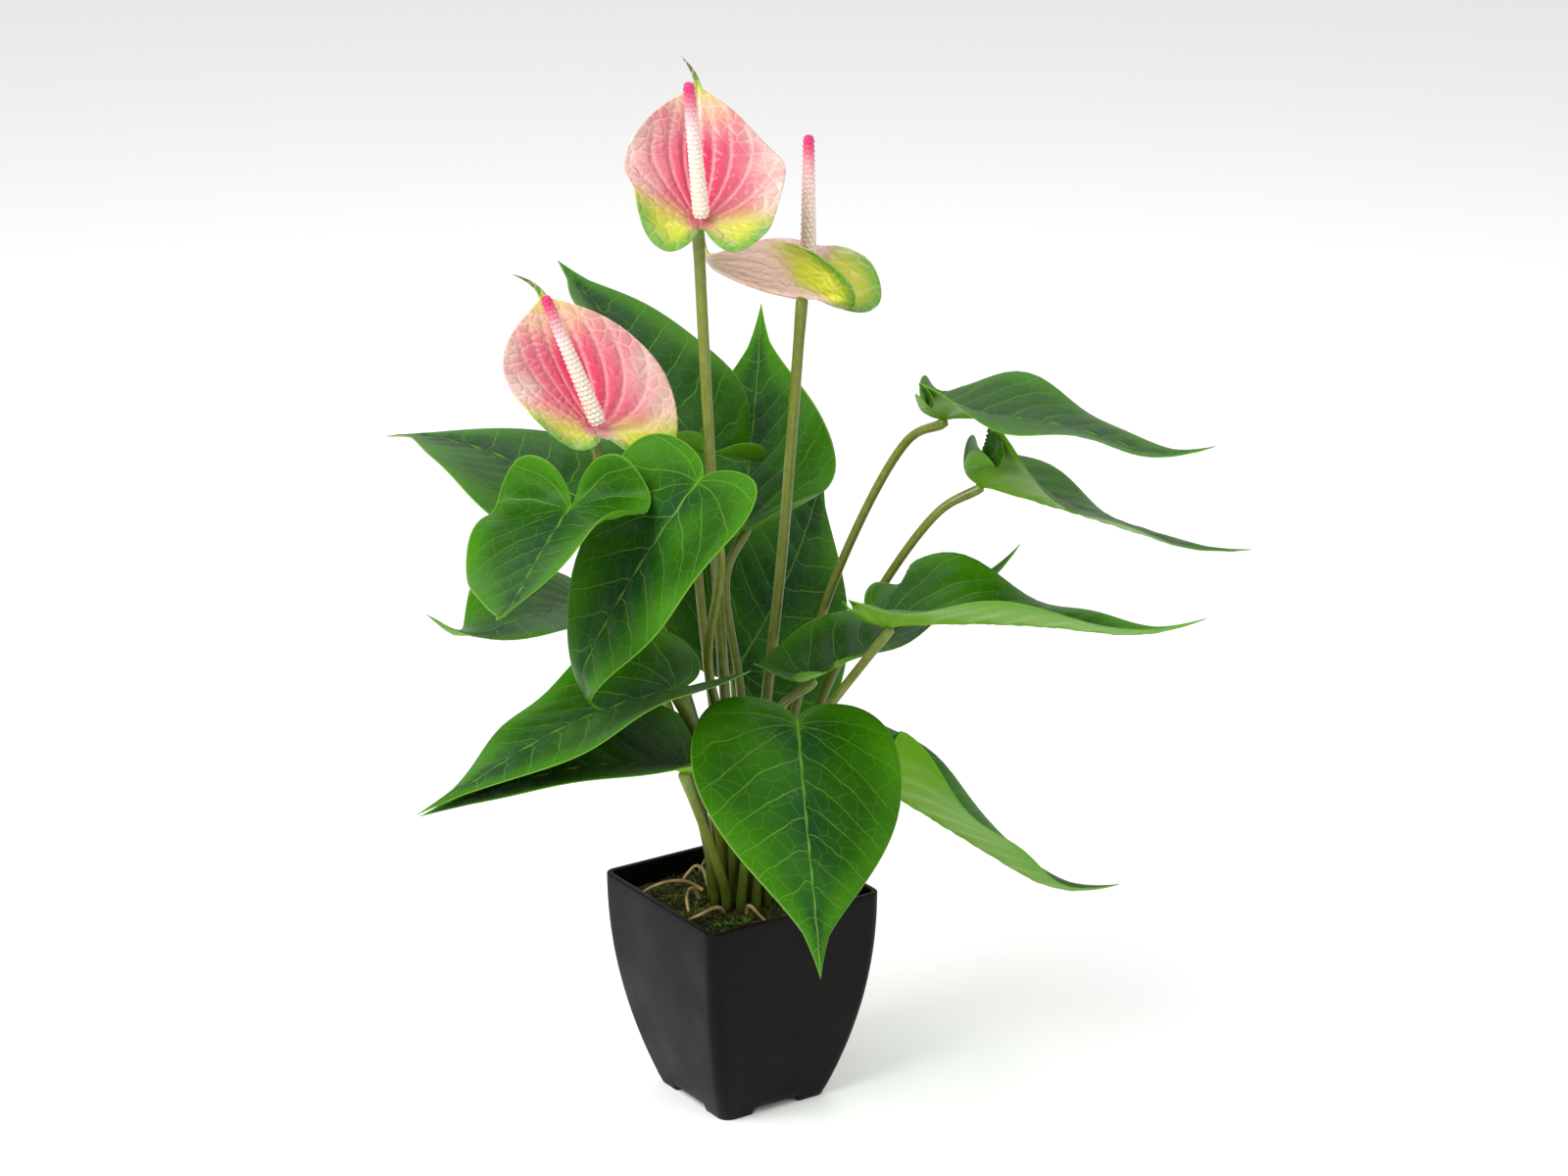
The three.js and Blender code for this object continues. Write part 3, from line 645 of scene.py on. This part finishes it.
def spatheSkin():
    # Waxy, thick tissue: smooth and glossy, its veins pressed deep so that each mesh catches the light.
    material, tree, surface, tint, place, flat, way = bladeMaterial(
        "waxyQuiltedSpathe",
        Roughness=0.3,
        IOR=1.45,
        Subsurface_Weight=0.12,
        Subsurface_Scale=0.004,
        Coat_Weight=0.45,
        Coat_Roughness=0.14,
    )
    surface.inputs["Subsurface Radius"].default_value = (1.0, 0.5, 0.4)
    share = addNode(tree, "ShaderNodeMath", {0: way.outputs[0], 1: 0.5}, operation="PINGPONG")
    reach = addNode(tree, "ShaderNodeMath", {0: share.outputs[0], 1: way.outputs[1]}, operation="MULTIPLY")
    groove = addNode(
        tree,
        "ShaderNodeMapRange",
        {0: reach.outputs[0], 1: 0.3, 2: 1.5, 3: 0.0, 4: 0.7},
        interpolation_type="SMOOTHSTEP",
    )
    net = addNode(
        tree,
        "ShaderNodeTexVoronoi",
        {"Vector": place.outputs["Vector"], "Scale": 1 / spatheLook["veinMesh"]},
        feature="DISTANCE_TO_EDGE",
        voronoi_dimensions="2D",
    )
    cell = addNode(
        tree,
        "ShaderNodeMapRange",
        {0: net.outputs["Distance"], 1: 0.0, 2: 0.28, 3: 0.0, 4: 1.0},
        interpolation_type="SMOOTHSTEP",
    )
    # the small veins show paler than the tissue they net
    netLine = addNode(
        tree,
        "ShaderNodeMapRange",
        {0: net.outputs["Distance"], 1: 0.01, 2: 0.07, 3: 0.45, 4: 0.0},
        interpolation_type="SMOOTHSTEP",
    )
    outer = addNode(tree, "ShaderNodeMapRange", {0: flat.outputs[2], 1: 4.0, 2: 15.0, 3: 1.0, 4: 0.0})
    # the lobes hold hardly any of the pale net
    above = addNode(tree, "ShaderNodeMapRange", {0: flat.outputs[1], 1: -8.0, 2: 4.0, 3: 0.25, 4: 1.0})
    paleArea = addNode(
        tree, "ShaderNodeMath", {0: outer.outputs[0], 1: above.outputs[0]}, operation="MULTIPLY"
    )
    netShare = addNode(
        tree, "ShaderNodeMath", {0: netLine.outputs[0], 1: paleArea.outputs[0]}, operation="MULTIPLY"
    )
    netted = addNode(
        tree,
        "ShaderNodeMix",
        {0: netShare.outputs[0], 6: tint.outputs["Color"], 7: toLinear(spatheLook["line"])},
        data_type="RGBA",
    )
    tree.links.new(netted.outputs[2], surface.inputs["Base Color"])
    height = addNode(tree, "ShaderNodeMath", {0: groove.outputs[0], 1: cell.outputs[0]}, operation="ADD")
    relief = addNode(
        tree, "ShaderNodeBump", {"Height": height.outputs[0], "Distance": 0.5 * mm, "Strength": 0.5}
    )
    tree.links.new(relief.outputs[0], surface.inputs["Normal"])
    return material


def paintedTissue(name, grainSize, grainDepth, **shader):
    # Plant tissue whose colour lies in its points, with a fine grain of the given size and depth in mm.
    material, tree, surface = startMaterial(name, **shader)
    tint = addNode(tree, "ShaderNodeAttribute", attribute_name="tint")
    spot = addNode(tree, "ShaderNodeTexCoord")
    grain = addNode(
        tree,
        "ShaderNodeTexNoise",
        {"Vector": spot.outputs["Object"], "Scale": 1 / (grainSize * mm), "Detail": 4.0},
    )
    shade = addNode(tree, "ShaderNodeMapRange", {0: grain.outputs[0], 1: 0.3, 2: 0.7, 3: 0.8, 4: 1.12})
    colour = addNode(
        tree,
        "ShaderNodeVectorMath",
        {0: tint.outputs["Color"], 1: shade.outputs[0]},
        operation="MULTIPLY",
    )
    tree.links.new(colour.outputs[0], surface.inputs["Base Color"])
    relief = addNode(
        tree, "ShaderNodeBump", {"Height": grain.outputs[0], "Distance": grainDepth * mm, "Strength": 0.6}
    )
    tree.links.new(relief.outputs[0], surface.inputs["Normal"])
    return material


leafMaterial = veinedLeaf()
for name, leaf in leaves.items():
    makeBlade("leaf", name, leaf, leafLook, leafVeins, paintLeaf, leafMaterial)
print("leaves done:", len(leaves))

spatheMaterial = spatheSkin()
tailHooks = dict(top=-6.5, right=0, left=-8)  # mm that the end of each tail curls aside
lobeFlares = dict(top=5, right=1, left=4)  # mm that the lobes flare forward beside the sinus
for name, blossom in blossoms.items():
    blossom["hook"], blossom["flare"] = tailHooks[name], lobeFlares[name]
    makeBlade("spathe", name, blossom, spatheLook, spatheVeins, paintSpathe, spatheMaterial)
print("spathes done:", len(blossoms))


# stems

stemLook = dict(
    petioleDiameter=4.0,
    stalkDiameter=4.8,
    footPitch=5.8,  # distance between neighbouring feet on the crown
    rise=5,  # height over which each stem leaves the crown upright
    foot="3f4212",
    low="4c5719",
    high="6c7527",
    joint="6f8a24",
)


def footPoint(ring, slot):
    # the feet stand in rings about the middle, six more in each ring than in the one inside it
    angle = slot / (6 * ring) * 2 * math.pi if ring else 0
    radius = ring * stemLook["footPitch"]
    return np.array([radius * math.cos(angle), radius * math.sin(angle), clearance])


def standOff(blade, face, radius, direction):
    # how far an end that meets the blade's upper (1) or lower (-1) face keeps from its middle
    slope = face * (blade.get("fold", 0) + blade.get("furl", 0)) + abs(blade.get("skew", 0))
    slope = math.radians(max(0, slope))
    slant = math.sqrt(max(0, 1 - float(np.dot(direction, bladeAxes(blade)[2])) ** 2))
    return bladeThickness / 2 / math.cos(slope) + clearance + radius * (slant + math.tan(slope))


def makeStem(node, blade, diameter, material):
    foot = footPoint(*blade["foot"])
    joint = np.array(blade["at"], dtype=float)
    arrival = joint - np.array(blade["route"][-1], dtype=float)
    arrival /= np.linalg.norm(arrival)
    out = bladeAxes(blade)[2]
    end = joint - out * standOff(blade, -1, diameter / 2, arrival)
    path = smoothPath([foot, foot + [0, 0, stemLook["rise"]], *blade["route"], end], 14)
    lengths = np.concatenate([[0], np.cumsum(np.linalg.norm(np.diff(path, axis=0), axis=1))])
    whole = lengths[-1]
    # a little stouter over the foot, slender in the middle, and swollen just under the blade
    swelling = 0.1 * (1 - ease(lengths, 4, 30)) + 0.1 * ease(lengths, whole - 14, whole - 4)
    radii = diameter / 2 * (0.9 + swelling)
    path = np.vstack([path, joint - out * 0.2])
    radii = np.append(radii, diameter / 2 * 0.8)
    points, faces, share = tube(path, radii, 16)
    height = share * whole
    tint = blend(stemLook["foot"], stemLook["low"], ease(height, 0, 25))
    tint = blend(tint, stemLook["high"], ease(share, 0.2, 0.8))
    tint = blend(tint, stemLook["joint"], ease(height, whole - 12, whole))
    return addPiece(node + "_stem", toPot(points), faces, material, node, "stem", tint=tint)


stemMaterial = paintedTissue("smoothGreenStem", 3.0, 0.15, Roughness=0.3, IOR=1.47)
for name, leaf in leaves.items():
    makeStem("petiole_" + name, leaf, stemLook["petioleDiameter"], stemMaterial)
for name, blossom in blossoms.items():
    makeStem("flower_stalk_" + name, blossom, stemLook["stalkDiameter"], stemMaterial)
print("stems done")


# spadices

spadixLook = dict(
    length=54,
    baseDiameter=7.0,
    tipDiameter=4.6,
    beadPitch=1.9,  # distance between neighbouring rings of florets
    beadsAround=9,
    beadHeight=0.5,
    base="f0dccb",
    middle="f0cfcb",
    tip="d8286a",
)


def makeSpadix(node, blossom, material):
    # a rounded rod of bead-like florets, each ring of them turned half a bead from the last
    look = spadixLook
    lean = np.array(blossom["lean"], dtype=float)
    lean /= np.linalg.norm(lean)
    out = bladeAxes(blossom)[2]
    base = blossom["at"] + out * standOff(blossom, 1, look["baseDiameter"] / 2, lean)
    across = np.cross(lean, [0, 1, 0])
    across /= np.linalg.norm(across)
    other = np.cross(lean, across)
    rows, around = 170, 72
    points, shades = [], []
    for i in range(rows + 1):
        share = i / rows
        height = look["length"] * share
        ring = height / look["beadPitch"]
        radius = (look["baseDiameter"] + (look["tipDiameter"] - look["baseDiameter"]) * share) / 2
        fromTip = look["length"] - height
        if fromTip < radius:
            radius *= math.sqrt(max(0, 1 - (1 - fromTip / radius) ** 2))
        if height < 2:
            radius *= 0.86 + 0.07 * height
        for k in range(around):
            angle = 2 * math.pi * k / around
            turns = look["beadsAround"] * angle / (2 * math.pi) + 0.5 * ring
            bead = (0.5 + 0.5 * math.cos(2 * math.pi * ring)) * (0.5 + 0.5 * math.cos(2 * math.pi * turns))
            r = max(radius - look["beadHeight"] * (1 - bead**0.8) * min(1, fromTip / 2), 0.0)
            points.append(base + lean * height + (across * math.cos(angle) + other * math.sin(angle)) * r)
            shades.append((share, bead))
    points.append(base)
    faces = ringFaces(rows, around, inward=True)
    faces += [(k, (k + 1) % around, len(points) - 1) for k in range(around)]
    share, bead = np.array(shades + [(0, 0)]).T
    colour = blend(look["base"], look["middle"], ease(share, 0.3, 0.75))
    colour = blend(colour, look["tip"], ease(share, 0.62, 0.98))
    # painted shade: the hollows between the florets are darkened
    colour[:, :3] *= (0.82 + 0.18 * bead)[:, None]  # darker between the florets
    return addPiece(node + "_beads", toPot(points), faces, material, node, "spadix", tint=colour)


spadixMaterial = paintedTissue(
    "pearlyFlorets", 1.0, 0.05, Roughness=0.35, IOR=1.45, Subsurface_Weight=0.1, Subsurface_Scale=0.002
)
for name, blossom in blossoms.items():
    makeSpadix("spadix_" + name, blossom, spadixMaterial)
print("spadices done")


# pot

potLook = dict(
    width=80.0,
    height=89.0,
    footWidth=49.0,
    curve=2.1,
    wall=2.5,
    corner=5.0,
    notchWidth=20.0,
    notchHeight=2.5,
    bossRadius=18.0,
    ledge=3.1,  # width of the foot that the pot stands on
    recess=2.5,  # height of the hollow behind the foot
    lip=0.6,  # roundness of the rim's edges
    hiddenFloor=72.0,  # height at which the inside ends, under the moss
    colour="060505",
)


def potHalf(z):
    # half the width outside, drawn in along a curve towards the foot
    look = potLook
    drawnIn = (look["width"] - look["footWidth"]) * max(0, 1 - z / look["height"]) ** look["curve"]
    return (look["width"] - drawnIn) / 2


def squareRing(half, corner, perSide=24, perCorner=10):
    # a square with round corners, counter-clockwise, the same number of points whatever its size
    ring = []
    for quarter in range(4):
        turn = quarter * math.pi / 2
        turned = np.array([[math.cos(turn), -math.sin(turn)], [math.sin(turn), math.cos(turn)]])
        for i in range(perCorner + 1):
            angle = i / perCorner * math.pi / 2
            reach = np.array([math.cos(angle), math.sin(angle)]) * corner
            ring.append(turned @ (half - corner + reach))
        for i in range(1, perSide):
            ring.append(turned @ [(half - corner) * (1 - 2 * i / perSide), half])
    return np.array(ring)


def makePot():
    look = potLook
    inner = max(look["corner"] - look["wall"], 1)
    middle = 0.2  # radius of the tiny rings that close the floor, inside and below
    rings = []

    def addRing(flat, z):
        rings.append(np.column_stack([flat, z + np.zeros(len(flat))]))

    half, top = look["width"] / 2, look["height"]
    foot = squareRing(potHalf(0), look["corner"])
    # the foot is notched in the middle of each side
    offMiddle = np.abs(foot).min(axis=1)
    notchEnd = look["notchWidth"] / 2
    notch = look["notchHeight"] * (1 - ease(offMiddle, notchEnd - 0.7, notchEnd + 0.7))
    circle = foot / np.linalg.norm(foot, axis=1)[:, None]
    # from below: the boss, the hollow round it, the foot, the wall, the rim and the inside
    addRing(circle * middle, 0)
    addRing(circle * look["bossRadius"], 0)
    addRing(circle * (look["bossRadius"] + 0.3), 0.3)
    addRing(circle * (look["bossRadius"] + 0.4), look["recess"] - 0.1)
    addRing(squareRing(potHalf(0) - look["ledge"] - 0.5, inner), look["recess"])
    addRing(squareRing(potHalf(0) - look["ledge"] - 0.3, inner), np.maximum(notch, 0.3))
    addRing(squareRing(potHalf(0) - look["ledge"], inner), notch)
    addRing(squareRing(potHalf(0) - 0.3, look["corner"] - 0.3), notch)
    addRing(foot, notch + 0.3)
    for z in np.linspace(3.4, top - look["lip"], 26):
        addRing(squareRing(potHalf(z), look["corner"]), z)
    for turn in (30, 60, 90):
        drop = look["lip"] * (1 - math.cos(math.radians(turn)))
        rise = look["lip"] * math.sin(math.radians(turn))
        addRing(squareRing(half - drop, look["corner"] - drop), top - look["lip"] + rise)
    for turn in (0, 30, 60, 90):
        drop = look["lip"] * (1 - math.sin(math.radians(turn)))
        fall = look["lip"] * (1 - math.cos(math.radians(turn)))
        addRing(squareRing(half - look["wall"] + drop, inner + drop), top - fall)
    for z in np.linspace(top - 3, look["hiddenFloor"], 5):
        addRing(squareRing(potHalf(z) - look["wall"], inner), z)
    addRing(circle * middle, look["hiddenFloor"] - 0.5)
    count = len(foot)
    faces = ringFaces(len(rings) - 1, count)
    faces.append(tuple(reversed(range(count))))
    faces.append(tuple(range((len(rings) - 1) * count, len(rings) * count)))
    return addPiece("pot_shell", np.vstack(rings) * mm, faces, mouldedPolypropylene(), "pot", "pot_plastic")


def mouldedPolypropylene():
    # Injection-moulded black polypropylene: satin, with a faint mould grain and slight flow waves.
    material, tree, surface = startMaterial("mouldedPolypropylene", IOR=1.45, Specular_IOR_Level=0.12)
    surface.inputs["Base Color"].default_value = toLinear(potLook["colour"])
    spot = addNode(tree, "ShaderNodeTexCoord")
    grain = addNode(
        tree, "ShaderNodeTexNoise", {"Vector": spot.outputs["Object"], "Scale": 900.0, "Detail": 3.0}
    )
    waves = addNode(
        tree, "ShaderNodeTexNoise", {"Vector": spot.outputs["Object"], "Scale": 45.0, "Detail": 2.0}
    )
    fine = addNode(
        tree, "ShaderNodeBump", {"Height": grain.outputs[0], "Distance": 0.05 * mm, "Strength": 0.6}
    )
    broad = addNode(
        tree,
        "ShaderNodeBump",
        {"Height": waves.outputs[0], "Distance": 0.25 * mm, "Strength": 0.35, "Normal": fine.outputs[0]},
    )
    tree.links.new(broad.outputs[0], surface.inputs["Normal"])
    rough = addNode(tree, "ShaderNodeMapRange", {0: waves.outputs[0], 1: 0.3, 2: 0.7, 3: 0.4, 4: 0.54})
    tree.links.new(rough.outputs[0], surface.inputs["Roughness"])
    return material


makePot()
print("pot done")


# moss, soil and the crown

mossLook = dict(
    tufts=1500,
    leafletsPerTuft=5,
    hump=2.0,
    mat=["2a2814", "3a2b18"],
    greens=["33480f", "4f6c17", "6b8a22", "233211", "414a17"],
    browns=["4b3920", "362918", "5d4a2b"],
)
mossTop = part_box("moss")[1][2] / mm


def mossHeight(x, y):
    # broad swells with smaller lumps on them
    return mossTop - 1.4 + mossLook["hump"] * (0.45 * mottle(x, y, 11, 3) + 0.3 * mottle(x, y, 4, 8))


def makeMoss():
    draw = random.Random(11)
    room = potHalf(mossTop) - potLook["wall"] - 0.4  # half the mat's width, just inside the wall
    steps = 70
    axis = np.linspace(-room, room, steps + 1)
    gx, gy = [v.ravel() for v in np.meshgrid(axis, axis, indexing="ij")]
    points = list(np.column_stack([gx, gy, mossHeight(gx, gy)]))
    faces = []
    for i in range(steps):
        for j in range(steps):
            low = i * (steps + 1) + j
            faces.append((low, low + steps + 1, low + steps + 2, low + 1))
    tint = list(blend(*mossLook["mat"], 0.5 + 0.5 * mottle(gx, gy, 9, 21)))
    greens = [np.array(toLinear(c)) for c in mossLook["greens"]]
    browns = [np.array(toLinear(c)) for c in mossLook["browns"]]
    # tufts of small pointed leaflets, strewn over the whole mat
    for _ in range(mossLook["tufts"]):
        x, y = draw.uniform(-room + 1.5, room - 1.5), draw.uniform(-room + 1.5, room - 1.5)
        palette = browns if draw.random() < 0.25 + 0.3 * mottle(x, y, 9, 21) else greens
        base = np.array([x, y, mossHeight(x, y)])
        own = palette[draw.randrange(len(palette))] * draw.uniform(0.7, 1.35)
        for _ in range(mossLook["leafletsPerTuft"]):
            heading, rise = draw.uniform(0, 2 * math.pi), draw.uniform(0.25, 1.2)
            length, width = draw.uniform(1.2, 3.0), draw.uniform(0.35, 0.8)
            ahead = np.array([math.cos(heading), math.sin(heading), 0])
            way = ahead * math.cos(rise) + np.array([0, 0, math.sin(rise)])
            flat = np.array([-math.sin(heading), math.cos(heading), 0])
            keel = np.cross(way, flat)
            root = base + np.array([draw.uniform(-0.8, 0.8), draw.uniform(-0.8, 0.8), -0.3])
            start = len(points)
            middle = root + way * length * 0.5 + keel * 0.25
            side = flat * width / 2
            points += [root, middle + side, root + way * length, middle - side, middle - keel * 0.35]
            faces += [
                (start, start + 1, start + 4),
                (start + 1, start + 2, start + 4),
                (start + 2, start + 3, start + 4),
                (start + 3, start, start + 4),
                (start + 2, start + 1, start, start + 3),
            ]
            # painted shade at each leaflet's root, down in the mat, and painted light on its tip
            tint += [own * 0.6, own, own * 1.5, own, own]
    points, tint = np.array(points), np.array(tint)
    points[:, :2] = np.clip(points[:, :2], -room, room)
    return addPiece("moss_carpet", points * mm, faces, mossMaterial, "moss", "moss", False, tint=tint)


mossMaterial = paintedTissue("springyMoss", 1.2, 0.3, Roughness=0.85, IOR=1.4)
makeMoss()
print("moss done")

crownLook = dict(radius=14.6, depth=4.5, dark="2b2013", light="5b4a2a")


def makeCrown():
    # the short woody base, lumpy between the stems' feet
    rings, around = 14, 64
    angles = np.arange(around) * 2 * math.pi / around
    circle = np.column_stack([np.cos(angles), np.sin(angles)]) * crownLook["radius"]
    flat = np.vstack([circle * r / rings for r in range(rings + 1)] + [circle])
    x, y = flat.T
    away = np.hypot(x, y) / crownLook["radius"]
    height = crownTop - 0.5 + 0.9 * mottle(x, y, 3.0, 4) * (1 - away**3) - 2.5 * away**6
    height[-around:] = crownTop - crownLook["depth"]
    faces = ringFaces(rings + 1, around, inward=True)
    faces.append(tuple(reversed(range((rings + 1) * around, (rings + 2) * around))))
    tint = blend(crownLook["dark"], crownLook["light"], 0.5 + 0.4 * mottle(x, y, 2.0, 9))
    points = np.column_stack([x, y, height])
    return addPiece("crown_mound", points * mm, faces, barkMaterial, "crown", "crown", tint=tint)


barkMaterial = paintedTissue("fibrousCrown", 0.8, 0.4, Roughness=0.8, IOR=1.45)
makeCrown()

# the soil keeps its plain solid, all under the moss: moist peat, dark and dull
soilLook = dict(colour="2a2019")
soilMaterial, _, soilSurface = startMaterial("peatMix", Roughness=0.95, IOR=1.4)
soilSurface.inputs["Base Color"].default_value = toLinear(soilLook["colour"])
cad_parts["soil"].data.materials.clear()
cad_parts["soil"].data.materials.append(soilMaterial)
print("crown and soil done")


# aerial roots

# each root: the way it leaves the crown, how far it bends, its reach and its arch, as the solids have them
roots = [
    dict(start=122, bend=22, reach=0.95, rise=3),
    dict(start=108, bend=8, reach=0.55, rise=8),
    dict(start=86, bend=2, reach=0.8, rise=10),
    dict(start=150, bend=32, reach=0.35, rise=5),
    dict(start=212, bend=-18, reach=0.6, rise=4),
    dict(start=244, bend=14, reach=0.45, rise=5),
    dict(start=66, bend=4, reach=0.45, rise=6),
]
rootLook = dict(diameter=1.6, crownRadius=15.0, pale="bfa574", brown="86693f")


def makeRoot(number, root):
    # an arch from the crown's edge out over the moss, thinner towards its end
    start = rootLook["crownRadius"] + rootLook["diameter"]
    around = math.radians(root["start"])
    outwards = max(abs(math.cos(around)), abs(math.sin(around)))
    room = (potHalf(mossTop) - potLook["wall"]) / outwards - rootLook["diameter"] - start
    low = mossTop + rootLook["diameter"] / 2 + clearance
    points = []
    for share in (0, 0.25, 0.5, 0.75, 1):
        radius = start + room * root["reach"] * share
        angle = math.radians(root["start"] + root["bend"] * share**2)
        height = low + root["rise"] * math.sin(math.pi * share**0.8)
        points.append([radius * math.cos(angle), radius * math.sin(angle), height])
    path = smoothPath(points, 12)
    radii = rootLook["diameter"] / 2 * (1.05 - 0.35 * np.linspace(0, 1, len(path)))
    points, faces, _ = tube(path, radii, 10)
    patch = mottle(points[:, 0], points[:, 1], 4, number)
    tint = blend(rootLook["brown"], rootLook["pale"], 0.5 + 0.6 * patch)
    node = "aerial_root_%d" % number
    addPiece(node + "_strand", points * mm, faces, rootMaterial, node, "root", tint=tint)


rootMaterial = paintedTissue("driedRootSkin", 0.9, 0.12, Roughness=0.6, IOR=1.45)
for number, root in enumerate(roots, 1):
    makeRoot(number, root)
print("roots done:", len(roots))


# floor, lights and camera

studio = dict(
    floor="fdfdfd",
    floorHalf=6.0,
    world=0.72,
    key=22,
    fill=8,
    back=4,
    distance=1.8,
    azimuth=-33.75,
    elevation=19.2,
    lens=106.98,
    target=(0.01398, -0.00934, 0.2115),
    middle=(0, 0, 0.22),  # where the lights point
)


def aim(thing, middle, side, above, away):
    # puts a camera or light away from the middle, by its angles about the plant and above the floor
    side, above = math.radians(side), math.radians(above)
    level = Vector((math.sin(side), -math.cos(side), 0))
    towards = level * math.cos(above) + Vector((0, 0, math.sin(above)))
    thing.location = Vector(middle) + towards * away
    thing.rotation_euler = (-towards).to_track_quat("-Z", "Y").to_euler()
    bpy.context.scene.collection.objects.link(thing)


def makeStudio():
    floorMesh = bpy.data.meshes.new("floor")
    half = studio["floorHalf"]
    corners = [(-half, -half, 0), (half, -half, 0), (half, half, 0), (-half, half, 0)]
    floorMesh.from_pydata(corners, [], [(0, 1, 2, 3)])
    material, _, surface = startMaterial("matteStudioPaper", Roughness=0.9, IOR=1.4)
    surface.inputs["Base Color"].default_value = toLinear(studio["floor"])
    floorMesh.materials.append(material)
    floor = bpy.data.objects.new("floor", floorMesh)
    bpy.context.scene.collection.objects.link(floor)
    world = bpy.data.worlds.new("studioAir")
    world.use_nodes = True
    world.node_tree.nodes["Background"].inputs[0].default_value = (1, 1, 1, 1)
    world.node_tree.nodes["Background"].inputs[1].default_value = studio["world"]
    bpy.context.scene.world = world
    bpy.context.scene.view_settings.view_transform = "Standard"  # keeps the greens and pinks full
    camera = bpy.data.objects.new("camera", bpy.data.cameras.new("camera"))
    camera.data.lens, camera.data.sensor_width = studio["lens"], 36.0
    camera.data.clip_end = 30
    aim(camera, studio["target"], studio["azimuth"], studio["elevation"], studio["distance"])
    bpy.context.scene.camera = camera
    # softboxes: the angle to the camera's side, the angle above the floor, the distance and the size
    for name, side, above, away, size in (
        ("key", -48, 42, 1.3, 0.9),
        ("fill", 55, 30, 1.6, 1.2),
        ("back", 165, 50, 1.4, 0.9),
    ):
        lamp = bpy.data.lights.new(name, "AREA")
        lamp.shape, lamp.size, lamp.energy = "SQUARE", size, studio[name]
        aim(bpy.data.objects.new(name, lamp), studio["middle"], studio["azimuth"] + side, above, away)


makeStudio()
print("studio done")
